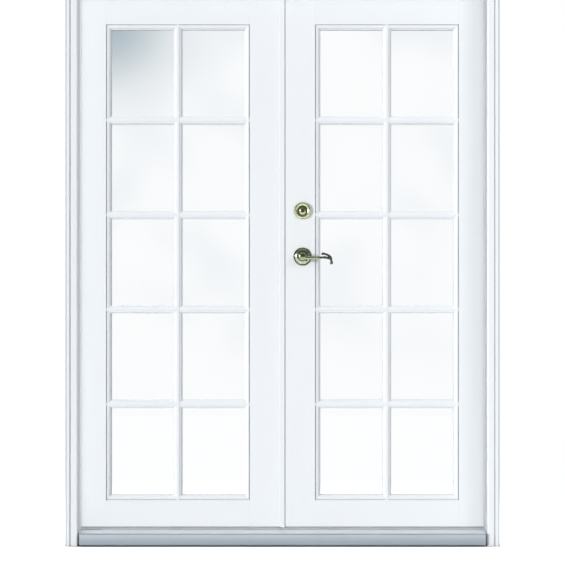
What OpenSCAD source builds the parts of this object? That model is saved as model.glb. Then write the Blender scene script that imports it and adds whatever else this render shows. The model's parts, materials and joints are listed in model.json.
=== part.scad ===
// Pair of glazed inswing doors, ten panes a leaf, hung in a timber frame with an outside moulding,
// a metal-clad sill, a covering strip with bolts on the first leaf and a lever lock on the second.
// Millimetres. X runs to the right seen from outside, Y runs into the house, Z is up.
// The origin is on the sill's underside, at mid width, in the plane of the frame's outside edge.

/* [Leaf] */
// Width of one leaf
leaf_w = 756; // [700:1:860]
// Height of one leaf
leaf_h = 2007; // [1900:1:2150]
// Thickness of a leaf
leaf_t = 44.5; // [42:0.5:50]
// Width of the stile on the hinge side, to the moulded edge
hinge_stile_w = 101; // [95:1:130]
// Width of the stile on the meeting side, to the moulded edge
meeting_stile_w = 117; // [110:1:140]
// Height of the top rail, to the moulded edge
top_rail_h = 128.5; // [100:0.5:160]
// Height of the bottom rail, to the moulded edge
bottom_rail_h = 99; // [95:0.5:260]

/* [Glazing] */
// Panes across a leaf
lite_columns = 2; // [1:1:3]
// Panes up a leaf
lite_rows = 5; // [3:1:6]
// Width of a glazing bar
bar_w = 32; // [30:1:40]
// Width of the flat on a glazing bar
bar_flat = 8; // [5:0.5:10]
// Width of the moulded edge round the panes
stick_w = 20; // [18:0.5:24]
// Depth of the moulded edge, from the face to the glass
stick_d = 14; // [12:0.5:16]
// Cover of the lip over the edge of the glass
rabbet_w = 12; // [10:0.5:12.5]
// Thickness of one sheet of glass
glass_t = 3; // [2.5:0.5:4]
// Space between the two sheets of a pane
glass_space = 10; // [8:0.5:11]

/* [Frame] */
// Depth of the jambs
jamb_d = 116; // [110:1:160]
// Thickness of the jambs behind the leaf
jamb_t = 19.5; // [17:0.5:25]
// Projection of the stop
stop_d = 12.5; // [11:0.5:15]
// Gap between a leaf and the jamb
side_gap = 3; // [2:0.5:4]
// Gap between the two leaves
meeting_gap = 10; // [9:0.5:12]
// Space for the seal between the stop and a leaf
seal_gap = 8; // [6:0.5:10]
// Width of the outside moulding
casing_w = 45; // [40:1:60]
// Thickness of the outside moulding
casing_t = 32; // [26:1:36]
// Set back of the outside moulding from the edge of the stop
casing_reveal = 6.5; // [2:0.5:10]

/* [Sill] */
// Height of the threshold's top
threshold_h = 57; // [56.5:0.5:64]
// Gap between the threshold and a leaf
bottom_gap = 6; // [5:0.5:9]
// Height of the deck where it meets the threshold
deck_h = 53; // [50:0.5:53.5]
// Height of the deck at its front
deck_front_h = 48; // [40:0.5:49]
// Reach of the sill in front of the frame
sill_reach = 47; // [35:1:60]

/* [Hinges] */
// Hinges on a leaf
hinge_count = 3; // [2:1:4]
// Height of a hinge
hinge_h = 102; // [90:1:115]
// Thickness of a hinge plate
plate_t = 2.5; // [2:0.1:3]
// Radius of a knuckle
knuckle_r = 6; // [5.5:0.1:7]
// Radius of a hinge pin
pin_r = 3; // [2.5:0.1:3.5]

/* [Lock] */
// Distance of the lock from the leaf's edge
backset = 69.85; // [60:0.05:72]
// Height of the lever above the leaf's underside
lever_h = 1010; // [900:1:1050]
// Distance from the lever up to the key lock
lock_spacing = 172; // [140:1:200]
// Radius of the lever's rose
rose_r = 33.5; // [32:0.5:36]
// Distance of the lever from the leaf's face
lever_reach = 50; // [46:0.5:60]
// Length of the lever, from its axis to the tail
lever_l = 112; // [95:1:125]
// Throw of the latch
latch_throw = 12.7; // [10:0.1:14]
// Throw of the key lock's bolt
bolt_throw = 25.4; // [20:0.1:27]

/* [Covering strip] */
// Width of the strip over the gap between the leaves
strip_w = 21; // [20:0.5:30]
// Thickness of the strip
strip_t = 6; // [5:0.5:9]
// Clear space between the strip's stem and the second leaf
stem_clear = 3; // [2.5:0.5:4]
// Length of a flush bolt
flush_l = 190; // [150:1:240]
// Throw of a flush bolt
flush_throw = 15; // [10:0.5:16]

/* [Hidden] */
$fn = 48;

// Overrun of every cut
over = 1;
// Clearance of sliding pieces, and of soft pieces from what passes them
slide_clear = 0.3;
// Clearance of turning pieces on their radius
run_clear = 0.06;
// Clearance of seated pieces in their housings
seat_clear = 0.2;
// Steps of a moulding's quarter round
arc_steps = 7;

// Moulded edge
quirk_d = 5.5;
quirk_w = 3.5;
bead_v = 1.5;
bar_quirk_d = 2.5;
bar_quirk_w = 1.5;
fillet_w = 3;
lip_t = 3;
bar_drop = 1;
glue_line = 0.1;
lip_v = stick_d - lip_t;
rabbet_u = stick_w - rabbet_w;
web_w = bar_w - 2 * rabbet_w;
glass_clear = 2;
bead_flat = 3;
bead_lip = 4;
glass_back = stick_d + 2 * glass_t + glass_space;
spacer_w = 7;

// Tenons of the rails
tenon_l = 45;
tenon_t = 13;
tenon_shoulder = 25;

// Leaf
lite_w = leaf_w - hinge_stile_w - meeting_stile_w;
lite_h = leaf_h - top_rail_h - bottom_rail_h;
lite_x1 = leaf_w - meeting_stile_w;
lite_z1 = leaf_h - top_rail_h;
pane_w = (lite_w - 2 * stick_w - (lite_columns - 1) * bar_w) / lite_columns;
pane_h = (lite_h - 2 * stick_w - (lite_rows - 1) * bar_w) / lite_rows;

// Frame
leaf_y = jamb_d - leaf_t;
leaf_z = threshold_h + bottom_gap;
leaf_x = meeting_gap / 2 + leaf_w;
rabbet_x = leaf_x + side_gap;
stop_x = rabbet_x - stop_d;
back_x = rabbet_x + jamb_t;
stop_y = leaf_y - seal_gap;
rabbet_z = leaf_z + leaf_h + side_gap;
stop_z = rabbet_z - stop_d;
back_z = rabbet_z + jamb_t;
kerf_w = 3;
kerf_d = 9;
kerf_set = 4;
fixing_r = 4;
fixing_y = 30;
fixing_z = 300;
fixing_spacing = back_z - 2 * fixing_z;

// Outside moulding, from its inner edge outwards
casing_x = stop_x + casing_reveal;
casing_z = stop_z + casing_reveal;
casing_edge_t = 26;
casing_step = 1;
casing_roll = 5;
casing_band_w = 15.5;
casing_groove_w = 3.5;
casing_groove_d = 5;
casing_round = 2;

// Sill
deck_t = 1.6;
threshold_y = 60;
cap_lip = 4;
cap_lip_h = 3;
cap_round = 2.5;
nose_r = 5;
nose_lift = 6;
base_set = 14;
strike_t = 1.5;
strike_w = 26;
strike_l = 44;

// Hinges, in a leaf's own frame
pin_x = -side_gap / 2;
pin_y = leaf_t + knuckle_r + slide_clear;
plate_d = 36;
knuckle_count = 5;
knuckle_l = (hinge_h - (knuckle_count - 1) * slide_clear) / knuckle_count;
pin_head_r = 4.6;
pin_head_t = 3;
hinge_set = 180;
hinge_step = (leaf_h - 2 * hinge_set - hinge_h) / (hinge_count - 1);

// Lock, in a leaf's own frame
lock_x = leaf_w - backset;
deadbolt_h = lever_h + lock_spacing;
lock_bore_r = 27;
case_r = 11.3;
case_wall = 2;
case_tail = 20;
face_w = 25.4;
face_l = 57;
face_t = 3;
bolt_w = 11;
bolt_h = 15;
spindle_w = 8;
hub_r = 15.5;
neck_r = 9;
rose_t = 12;
rose_rim = 3.5;
rose_wall = 3;
screw_place = 20.5;
screw_r = 2;
screw_head_r = 3.3;
screw_head_t = 1.6;
collar_r = 32;
collar_t = 15;
plug_r = 8;
plug_stand = 1;
keyway_w = 1.6;
keyway_h = 9;
tail_w = 6;
tail_t = 2.4;
turn_l = 30;
turn_t = 7;
turn_h = 16;
turn_hub_r = 9;
plate_disc_t = 8;

// Covering strip, in the second leaf's gap
stem_x1 = meeting_gap / 2 - stem_clear;
strip_relief = 0.5;
strip_round = 1.5;
flush_t = 4;
flush_w = 15;
flush_taper = 2;
pocket_room = 5;
slot_room = 1;
strip_shift = -2.5;
strip_x0 = strip_shift - strip_w / 2;
strip_x1 = strip_shift + strip_w / 2;
strip_top = stop_z - slide_clear;

// Weatherstrip
bulb_set = 1;
barb_clear = 0.25;

// Sweep under a leaf
sweep_w = 30;
sweep_t = 1.5;
sweep_fin_t = 2;
sweep_fins = 3;
sweep_end = 2;

// Extrudes an outline drawn in Y and Z along X
module along_x(x0, x1) {
    translate([x0, 0, 0]) rotate([90, 0, 90]) linear_extrude(x1 - x0) children();
}

// Extrudes an outline drawn in X and Z along Y
module along_y(y0, y1) {
    translate([0, y1, 0]) rotate([90, 0, 0]) linear_extrude(y1 - y0) children();
}

// Extrudes an outline drawn in X and Y along Z
module along_z(z0, z1) {
    translate([0, 0, z0]) linear_extrude(z1 - z0) children();
}

// Block between two opposite corners
module block(low, high) {
    translate(low) cube(high - low);
}

// Round bar along X
module rod_x(x0, x1, r) {
    translate([x0, 0, 0]) rotate([0, 90, 0]) cylinder(h = x1 - x0, r = r);
}

// Round bar along Y
module rod_y(y0, y1, r) {
    translate([0, y1, 0]) rotate([90, 0, 0]) cylinder(h = y1 - y0, r = r);
}

// Solid of revolution about Y, its outline given as radius and height in front of the face
module turned(outline) {
    rotate([90, 0, 0]) rotate_extrude() polygon(outline);
}

function swapped(points) = [for (p = points) [p[1], p[0]]];
function reversed(points) = [for (i = [len(points) - 1:-1:0]) points[i]];

// Convex quarter round that leaves u0, v0 along u and ends at u1, v1 along v
function ovolo(u0, v0, u1, v1) = [
    for (i = [0:arc_steps]) let (t = 90 * i / arc_steps) [u0 + (u1 - u0) * sin(t), v1 - (v1 - v0) * cos(t)]
];

// Outlines across the moulded edge: u runs from the flat face to the glass, v from the outside inwards
stick_outline = concat(
    [[0, quirk_d], [quirk_w, quirk_d]],
    ovolo(quirk_w, bead_v, stick_w - fillet_w, lip_v),
    [[stick_w, lip_v], [stick_w, stick_d], [rabbet_u, stick_d], [rabbet_u, leaf_t], [0, leaf_t]]
);
bar_side = concat(
    [[bar_flat / 2, bar_drop], [bar_flat / 2, bar_drop + bar_quirk_d]],
    ovolo(bar_flat / 2 + bar_quirk_w, bar_drop + bar_quirk_d, bar_w / 2 - fillet_w, lip_v),
    [[bar_w / 2, lip_v], [bar_w / 2, stick_d], [web_w / 2, stick_d], [web_w / 2, leaf_t]]
);
bar_outline = concat(bar_side, reversed([for (p = bar_side) [-p[0], p[1]]]));
bead_outline = concat(
    [[0, glass_back], [rabbet_w, glass_back], [rabbet_w, glass_back + bead_lip]],
    reversed(ovolo(bead_flat, leaf_t, rabbet_w - fillet_w / 2, glass_back + bead_lip)),
    [[0, leaf_t]]
);

// Straight moulding along X with its back edge on the X axis, its width upwards and both ends mitred
module mitred(run, width, outline) {
    intersection() {
        along_x(0, run) polygon(swapped(outline));
        along_y(-over, leaf_t + over) polygon([[0, 0], [run, 0], [run - width, width], [width, width]]);
    }
}

// Turns what is drawn along X and upwards into the same along Z and to the right
module upright() {
    mirror([1, 0, -1]) children();
}

// Four mitred mouldings round the inside of a rectangle
module mitred_ring(x0, z0, x1, z1, width, outline) {
    for (flip = [0, 1]) {
        translate([x0, 0, flip ? z1 : z0]) mirror([0, 0, flip]) mitred(x1 - x0, width, outline);
        translate([flip ? x1 : x0, 0, z0]) mirror([flip, 0, 0]) upright() mitred(z1 - z0, width, outline);
    }
}

// Puts a piece drawn in a leaf's own frame on the first or the second leaf.
// That frame starts at the bottom hinge corner of the outside face, with X towards the other leaf.
module on_passive() {
    translate([-leaf_x, leaf_y, leaf_z]) children();
}

module on_active() {
    translate([leaf_x, leaf_y, leaf_z]) mirror([1, 0, 0]) children();
}

// Puts a piece drawn round a lock's axis, from the outside face, at a height on the second leaf
module at_lock(height) {
    translate([meeting_gap / 2 + backset, leaf_y, leaf_z + height]) children();
}

// Pocket or plate for a hinge at each of its places up a leaf
module at_hinges() {
    for (i = [0:hinge_count - 1]) translate([0, 0, hinge_set + i * hinge_step]) children();
}

// Hinge side stile with its moulded edge, rail mortises and hinge recesses
module hinge_stile_blank() {
    difference() {
        union() {
            block([0, 0, 0], [hinge_stile_w, leaf_t, leaf_h]);
            translate([hinge_stile_w, 0, bottom_rail_h]) upright() mitred(lite_h, stick_w, stick_outline);
        }
        mortises(hinge_stile_w - tenon_l - seat_clear, hinge_stile_w + over);
        at_hinges() block([-over, leaf_t - plate_d, 0], [plate_t, leaf_t + over, hinge_h]);
    }
}

// Meeting side stile with its moulded edge and rail mortises
module meeting_stile_blank() {
    difference() {
        union() {
            block([lite_x1, 0, 0], [leaf_w, leaf_t, leaf_h]);
            translate([lite_x1, 0, bottom_rail_h]) mirror([1, 0, 0]) upright()
                mitred(lite_h, stick_w, stick_outline);
        }
        mortises(lite_x1 - over, lite_x1 + tenon_l + seat_clear);
    }
}

// Tenon or mortise at both rails, between two places along X, grown by a clearance
module tenons(x0, x1, z0, z1, grow) {
    block([x0, leaf_t / 2 - tenon_t / 2 - grow, z0 + tenon_shoulder - grow],
        [x1, leaf_t / 2 + tenon_t / 2 + grow, z1 - tenon_shoulder + grow]);
}

module mortises(x0, x1) {
    tenons(x0, x1, 0, bottom_rail_h, seat_clear);
    tenons(x0, x1, lite_z1, leaf_h, seat_clear);
}

module bottom_rail_blank() {
    block([hinge_stile_w, 0, 0], [lite_x1, leaf_t, bottom_rail_h]);
    translate([hinge_stile_w, 0, bottom_rail_h]) mitred(lite_w, stick_w, stick_outline);
    tenons(hinge_stile_w - tenon_l, lite_x1 + tenon_l, 0, bottom_rail_h, 0);
}

module top_rail_blank() {
    block([hinge_stile_w, 0, lite_z1], [lite_x1, leaf_t, leaf_h]);
    translate([hinge_stile_w, 0, lite_z1]) mirror([0, 0, 1]) mitred(lite_w, stick_w, stick_outline);
    tenons(hinge_stile_w - tenon_l, lite_x1 + tenon_l, lite_z1, leaf_h, 0);
}

// Middle of an upright bar and of a row of cross bars
function column_x(i) = hinge_stile_w + stick_w + i * (pane_w + bar_w) - bar_w / 2;
function row_z(i) = bottom_rail_h + stick_w + i * (pane_h + bar_w) - bar_w / 2;

module upright_bars() {
    for (i = [1:1:lite_columns - 1]) {
        translate([column_x(i), 0, 0]) along_z(bottom_rail_h, lite_z1) polygon(bar_outline);
    }
}

// Upright bars fitted over the rails' moulding, cross bars fitted over the stiles' and the uprights'
module bars() {
    difference() {
        upright_bars();
        for (flip = [0, 1]) {
            translate([0, 0, flip ? lite_z1 : bottom_rail_h]) mirror([0, 0, flip])
                along_x(hinge_stile_w, lite_x1) polygon(swapped(stick_outline));
        }
    }
    difference() {
        for (i = [1:lite_rows - 1]) {
            translate([0, 0, row_z(i)]) along_x(hinge_stile_w, lite_x1) polygon(swapped(bar_outline));
        }
        for (way = [-1, 1], rise = [-1, 1]) translate([way * glue_line, rise * glue_line, 0]) upright_bars();
        for (flip = [0, 1]) {
            translate([flip ? lite_x1 : hinge_stile_w, 0, 0]) mirror([flip, 0, 0])
                along_z(bottom_rail_h, lite_z1) polygon(stick_outline);
        }
    }
}

// Puts a piece at the lower left corner of the sight opening of every pane
module at_panes() {
    for (i = [0:lite_columns - 1], k = [0:lite_rows - 1]) {
        translate([column_x(i) + bar_w / 2, 0, row_z(k) + bar_w / 2]) children();
    }
}

// Both sheets of every pane, held behind the lip and short of the rabbet
module panes() {
    edge = rabbet_w - glass_clear;
    at_panes() for (v = [stick_d, stick_d + glass_t + glass_space]) {
        block([-edge, v, -edge], [pane_w + edge, v + glass_t, pane_h + edge]);
    }
}

// Spacer bar round the edge of every pane, between its sheets
module spacers() {
    edge = rabbet_w - glass_clear;
    v0 = stick_d + glass_t;
    at_panes() difference() {
        block([-edge, v0, -edge], [pane_w + edge, v0 + glass_space, pane_h + edge]);
        block([spacer_w - edge, v0 - over, spacer_w - edge],
            [pane_w + edge - spacer_w, v0 + glass_space + over, pane_h + edge - spacer_w]);
    }
}

// Four beads on the inside of every pane
module beads() {
    at_panes() mitred_ring(-rabbet_w, -rabbet_w, pane_w + rabbet_w, pane_h + rabbet_w, rabbet_w, bead_outline);
}

// Strip of fins under a leaf
module sweep_strip() {
    y0 = (leaf_t - sweep_w) / 2;
    pitch = (sweep_w - sweep_fin_t) / (sweep_fins - 1);
    block([sweep_end, y0, -sweep_t], [leaf_w - sweep_end, y0 + sweep_w, 0]);
    for (i = [0:sweep_fins - 1]) {
        block([sweep_end, y0 + i * pitch, slide_clear - bottom_gap],
            [leaf_w - sweep_end, y0 + i * pitch + sweep_fin_t, -sweep_t]);
    }
}

// Plate and knuckles of one half of every hinge: the plate's near face at x0, knuckles first, first + 2 ...
module hinge_halves(x0, first) {
    at_hinges() difference() {
        union() {
            block([x0, leaf_t - plate_d, 0], [x0 + plate_t, leaf_t, hinge_h]);
            for (i = [first:2:knuckle_count - 1]) translate([0, 0, i * (knuckle_l + slide_clear)]) {
                block([x0, leaf_t, 0], [x0 + plate_t, pin_y, knuckle_l]);
                translate([pin_x, pin_y, 0]) cylinder(h = knuckle_l, r = knuckle_r);
            }
        }
        translate([pin_x, pin_y, -over]) cylinder(h = hinge_h + 2 * over, r = pin_r + run_clear);
    }
}

module jamb_hinge_halves() {
    hinge_halves(-side_gap - plate_t, 0);
}

module leaf_hinge_halves() {
    hinge_halves(0, 1);
}

// Headed pin of every hinge
module hinge_pins() {
    at_hinges() translate([pin_x, pin_y, 0]) {
        cylinder(h = hinge_h + slide_clear, r = pin_r);
        translate([0, 0, hinge_h + slide_clear]) cylinder(h = pin_head_t, r = pin_head_r);
    }
}

// Right jamb with its stop, seal groove, hinge recesses and fixing holes
module side_jamb() {
    difference() {
        along_z(0, back_z) polygon([
            [stop_x, 0], [back_x, 0], [back_x, jamb_d], [rabbet_x, jamb_d], [rabbet_x, stop_y], [stop_x, stop_y]
        ]);
        block([stop_x + kerf_set, stop_y - kerf_d, -over], [stop_x + kerf_set + kerf_w, stop_y + over, back_z + over]);
        on_active() at_hinges() block([-side_gap - plate_t, leaf_t - plate_d, 0], [-side_gap + over, leaf_t + over, hinge_h]);
        for (i = [0, 1]) translate([0, fixing_y, fixing_z + i * fixing_spacing])
            rod_x(stop_x - over, back_x + over, fixing_r);
    }
}

// Head between the side jambs, with its stop, seal groove and the pocket for the upper bolt
module head_blank() {
    difference() {
        along_x(-rabbet_x, rabbet_x) polygon([
            [0, stop_z], [0, back_z], [jamb_d, back_z], [jamb_d, rabbet_z], [stop_y, rabbet_z], [stop_y, stop_z]
        ]);
        for (side = [0, 1]) mirror([side, 0, 0])
            block([stop_x, -over, stop_z - over], [rabbet_x + over, stop_y, back_z + over]);
        block([-rabbet_x - over, stop_y - kerf_d, stop_z + kerf_set],
            [rabbet_x + over, stop_y + over, stop_z + kerf_set + kerf_w]);
        strike_blank(rabbet_z, 1, over);
        bolt_slot(rabbet_z - over, rabbet_z + flush_throw);
    }
}

// Outline of the outside moulding: a runs outwards from its inner edge, b away from the wall
casing_groove_a = casing_w - casing_band_w - casing_groove_w;
casing_outline = concat(
    [[0, 0], [0, casing_edge_t]],
    reversed(ovolo(casing_roll, casing_t, casing_step, casing_edge_t)),
    [
        [casing_groove_a, casing_t], [casing_groove_a, casing_t - casing_groove_d],
        [casing_groove_a + casing_groove_w, casing_t - casing_groove_d],
        [casing_groove_a + casing_groove_w, casing_t - casing_round],
        [casing_groove_a + casing_groove_w + casing_round, casing_t],
        [casing_w - casing_round, casing_t], [casing_w, casing_t - casing_round], [casing_w, 0]
    ]
);

// Right length of the outside moulding, mitred at the head
module side_casing() {
    intersection() {
        along_z(0, casing_z + casing_w) polygon([for (p = casing_outline) [casing_x + p[0], -p[1]]]);
        along_y(-casing_t - over, over) polygon([
            [casing_x, 0], [casing_x + casing_w, 0], [casing_x + casing_w, casing_z + casing_w], [casing_x, casing_z]
        ]);
    }
}

module head_casing() {
    intersection() {
        along_x(-casing_x - casing_w, casing_x + casing_w)
            polygon([for (p = casing_outline) [-p[1], casing_z + p[0]]]);
        along_y(-casing_t - over, over) polygon([
            [-casing_x, casing_z], [casing_x, casing_z],
            [casing_x + casing_w, casing_z + casing_w], [-casing_x - casing_w, casing_z + casing_w]
        ]);
    }
}

// Length of a sill piece, cut to the plan between the jambs and their stops
module sill_length(outline) {
    intersection() {
        along_x(-rabbet_x, rabbet_x) polygon(outline);
        along_z(-over, threshold_h + over) polygon([
            [-stop_x, -sill_reach - over], [stop_x, -sill_reach - over], [stop_x, stop_y], [rabbet_x, stop_y],
            [rabbet_x, jamb_d + over], [-rabbet_x, jamb_d + over], [-rabbet_x, stop_y], [-stop_x, stop_y]
        ]);
    }
}

// Rounded nose of the deck, at its outer or its inner radius
function nose(r) = [
    for (i = [0:arc_steps]) let (t = 90 + 90 * i / arc_steps)
        [-sill_reach + nose_r + r * cos(t), deck_front_h - nose_r + r * sin(t)]
];
base_h = deck_h - deck_t;
base_outline = concat(
    [[threshold_y, base_h]], nose(nose_r - deck_t),
    [
        [deck_t - sill_reach, nose_lift], [base_set - sill_reach, nose_lift], [base_set - sill_reach, 0],
        [jamb_d, 0], [jamb_d, base_h]
    ]
);
deck_outline = concat(
    [[threshold_y, deck_h]], nose(nose_r),
    [[-sill_reach, nose_lift], [deck_t - sill_reach, nose_lift]],
    reversed(nose(nose_r - deck_t)), [[threshold_y, base_h]]
);
cap_outline = [
    [threshold_y, base_h], [jamb_d, base_h], [jamb_d, threshold_h],
    [threshold_y - cap_lip + cap_round, threshold_h], [threshold_y - cap_lip, threshold_h - cap_round],
    [threshold_y - cap_lip, threshold_h - cap_lip_h], [threshold_y, threshold_h - cap_lip_h]
];

// Place of the flush bolts in the covering strip's stem
bolt_x = stem_x1 - flush_t / 2;
bolt_y = leaf_y + leaf_t / 2;

// Slot for a flush bolt, with room on all sides
module bolt_slot(z0, z1) {
    block([bolt_x - flush_t / 2 - slot_room, bolt_y - flush_w / 2 - slot_room, z0],
        [bolt_x + flush_t / 2 + slot_room, bolt_y + flush_w / 2 + slot_room, z1]);
}

// Blank of a bolt's strike plate, from a face towards what is behind it, or its recess with an overrun in front
module strike_blank(z, way, front) {
    ends = [z - way * front, z + way * strike_t];
    block([bolt_x - strike_w / 2, bolt_y - strike_l / 2, min(ends)],
        [bolt_x + strike_w / 2, bolt_y + strike_l / 2, max(ends)]);
}

// Outline of the seal: a half round on the stop's face and a barb in its groove.
// a runs from the edge of the stop outwards, b from the stop's face towards the leaf.
bulb_mid = stop_d / 2;
bulb_a = stop_d / 2 - bulb_set;
bulb_b = seal_gap - slide_clear;
seal_outline = concat(
    [for (i = [0:2 * arc_steps]) let (t = 90 * i / arc_steps) [bulb_mid + bulb_a * cos(t), bulb_b * sin(t)]],
    [
        [kerf_set + barb_clear, 0], [kerf_set + barb_clear, barb_clear - kerf_d],
        [kerf_set + kerf_w - barb_clear, barb_clear - kerf_d], [kerf_set + kerf_w - barb_clear, 0]
    ]
);

module side_seal() {
    along_z(threshold_h + slide_clear, rabbet_z)
        polygon([for (p = seal_outline) [stop_x + p[0], stop_y + p[1]]]);
}

module head_seal() {
    along_x(slide_clear - stop_x, stop_x - slide_clear)
        polygon([for (p = seal_outline) [stop_y + p[1], stop_z + p[0]]]);
}

// Section of a flush bolt, wider at its back, grown by a clearance
function flush_outline(grow) = [
    [stem_x1 - flush_t - grow, bolt_y - flush_w / 2 - grow], [stem_x1 - flush_t - grow, bolt_y + flush_w / 2 + grow],
    [stem_x1, bolt_y + flush_w / 2 - flush_taper + grow], [stem_x1, bolt_y - flush_w / 2 + flush_taper - grow]
];
leaf_top = leaf_z + leaf_h;

// Flush bolt, its lower end at z0, with a finger scoop at a share of its length
module flush_bolt(z0, scoop_share) {
    difference() {
        along_z(z0, z0 + flush_l) polygon(flush_outline(0));
        translate([stem_x1 + flush_t / 2, bolt_y, z0 + flush_l * scoop_share])
            rod_y(-flush_w, flush_w, flush_t);
    }
}

// Groove of a flush bolt, open at the strip's end and at the stem's face
module flush_groove(z0, z1) {
    along_z(z0, z1) polygon(flush_outline(slide_clear));
    block([stem_x1 - over / 2, bolt_y - flush_w / 2 + flush_taper - slide_clear, z0],
        [stem_x1 + over, bolt_y + flush_w / 2 - flush_taper + slide_clear, z1]);
}

// Section of a lock bolt inside its round case, grown by a clearance, between two places along X
module bolt_bar(x0, x1, grow) {
    translate([0, leaf_t / 2, 0]) intersection() {
        block([x0, -bolt_w / 2 - grow, -bolt_h / 2 - grow], [x1, bolt_w / 2 + grow, bolt_h / 2 + grow]);
        rod_x(x0 - over, x1 + over, case_r - case_wall - slide_clear + grow);
    }
}

// Round case of a lock bolt with its face plate, bored for the bolt and across for what turns in it
module bolt_case(cross_r) {
    difference() {
        union() {
            block([-backset, leaf_t / 2 - face_w / 2, -face_l / 2], [face_t - backset, leaf_t / 2 + face_w / 2, face_l / 2]);
            translate([0, leaf_t / 2, 0]) rod_x(-backset, case_tail, case_r);
        }
        bolt_bar(-backset - over, face_t - backset + over, slide_clear);
        translate([0, leaf_t / 2, 0]) rod_x(face_t - backset, case_tail - case_wall, case_r - case_wall);
        translate([0, leaf_t / 2, 0]) rod_y(-case_r - over, case_r + over, cross_r);
    }
}

// Space for a lock in the stile: the cross bore, the case's bore and the face plate's recess
module lock_space() {
    rod_y(-over, leaf_t + over, lock_bore_r);
    translate([0, leaf_t / 2, 0]) rod_x(-backset, case_tail + over, case_r + seat_clear);
    block([-backset - over, leaf_t / 2 - face_w / 2, -face_l / 2], [face_t - backset, leaf_t / 2 + face_w / 2, face_l / 2]);
}

// Pocket for a lock bolt beyond the second leaf's edge, from the stem's face to a depth
module bolt_pocket(depth) {
    block([-backset - depth, (leaf_t - bolt_w) / 2 - slot_room, -bolt_h / 2 - slot_room],
        [-backset, (leaf_t + bolt_w) / 2 + slot_room, bolt_h / 2 + slot_room]);
}

// Strike plate let into the stem's face, or its recess
module strike_plate() {
    x1 = stem_x1 - meeting_gap / 2 - backset;
    block([x1 - strike_t, leaf_t / 2 - face_w / 2, -face_l / 2], [x1, leaf_t / 2 + face_w / 2, face_l / 2]);
}

// Rose of the lever lock, hollow behind, with a bearing for the lever's neck and seats for two screws
rose_rim_w = 2.5;
rose_dome = rose_r - rose_rim_w;
bearing_r = neck_r + run_clear;
rose_outline = concat(
    [[bearing_r, 0], [rose_r, 0], [rose_r, rose_rim], [rose_dome, rose_rim]],
    reversed(ovolo(hub_r, rose_t, rose_dome, rose_rim)), [[bearing_r, rose_t]]
);
rose_hollow = concat(
    [[bearing_r + rose_wall, -over], [rose_dome - rose_wall, -over]],
    reversed(ovolo(hub_r, rose_t - rose_wall, rose_dome - rose_wall, 0)),
    [[bearing_r + rose_wall, rose_t - rose_wall]]
);

// Places of the two screws, up to the left and down to the right seen from outside
module at_screws() {
    for (turn = [135, 315]) translate([screw_place * cos(turn), 0, screw_place * sin(turn)]) children();
}

// Seats of the screws' heads are cut only in the outside rose
module rose(seats) {
    difference() {
        turned(rose_outline);
        turned(rose_hollow);
        at_screws() rod_y(-rose_t - over, over, screw_r + seat_clear);
        if (seats) at_screws() rod_y(-rose_t - over, screw_head_t - rose_t, screw_head_r + seat_clear);
    }
}

// Mirrors a piece from the outside face to the inside face of the leaf
module inside() {
    translate([0, leaf_t, 0]) mirror([0, 1, 0]) children();
}

// Smooth curve through stations that may carry any number of values each
function between(p, i, t) = let (
    a = p[max(i - 1, 0)], b = p[i], c = p[i + 1], d = p[min(i + 2, len(p) - 1)]
) (2 * b + (c - a) * t + (2 * a - 5 * b + 4 * c - d) * t * t + (3 * b - a - 3 * c + d) * t * t * t) / 2;
curve_steps = 4;
function curve(p) = concat(
    [for (i = [0:len(p) - 2], s = [0:curve_steps - 1]) between(p, i, s / curve_steps)], [p[len(p) - 1]]
);
function unit(v) = v / norm(v);
function flat(p) = [p[0], p[1]];
function heading(p, i) = unit(flat(p[min(i + 1, len(p) - 1)]) - flat(p[max(i - 1, 0)]));

// Round bar along a curve in X and Z, through stations of X, Z and radius
wand_sides = 12;
module wand(stations) {
    p = curve(stations);
    last = len(p) - 1;
    rings = [for (i = [0:last], k = [0:wand_sides - 1]) let (h = heading(p, i), t = 360 * k / wand_sides)
        [p[i][0] - p[i][2] * cos(t) * h[1], p[i][2] * sin(t), p[i][1] + p[i][2] * cos(t) * h[0]]];
    sides = [for (i = [0:last - 1], k = [0:wand_sides - 1]) let (n = (k + 1) % wand_sides, r = i * wand_sides)
        each [[r + k, r + n, r + wand_sides + n], [r + k, r + wand_sides + n, r + wand_sides + k]]];
    ends = [[for (k = [wand_sides - 1:-1:0]) k], [for (k = [0:wand_sides - 1]) last * wand_sides + k]];
    polyhedron(rings, concat(sides, ends));
}

// Stations of the lever's arm and of its scroll: X, Z and radius as shares of the lever's length
arm_shares = [
    [0.02, -0.045, 0.056], [0.25, -0.045, 0.056], [0.48, -0.040, 0.044], [0.65, -0.033, 0.032],
    [0.73, -0.027, 0.036], [0.82, -0.045, 0.032], [0.92, -0.068, 0.030]
];
scroll_shares = [
    [0.68, 0.095, 0.028], [0.79, 0.075, 0.026], [0.88, 0.030, 0.030], [0.94, -0.040, 0.035],
    [0.965, -0.130, 0.028], [0.970, -0.200, 0.022]
];
ball_shares = [[0.68, 0.095, 0.040], [0.970, -0.215, 0.046]];
hub_waist_share = 0.72;
hub_front_share = 0.92;
hub_front_t = 8;
hub_foot_t = 3;
hub_flare = 6;
socket_d = 26;
neck_back = 1;
hub_outline = concat(
    [
        [0, neck_back], [neck_r, neck_back], [neck_r, rose_t + slide_clear], [hub_r, rose_t + slide_clear],
        [hub_r, rose_t + hub_foot_t], [hub_r * hub_waist_share, rose_t + hub_foot_t + hub_flare],
        [hub_r * hub_waist_share, lever_reach - hub_front_t - hub_flare],
        [hub_r * hub_front_share, lever_reach - hub_front_t]
    ],
    reversed(ovolo(0, lever_reach + hub_front_t, hub_r * hub_front_share, lever_reach + hub_foot_t))
);

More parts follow.
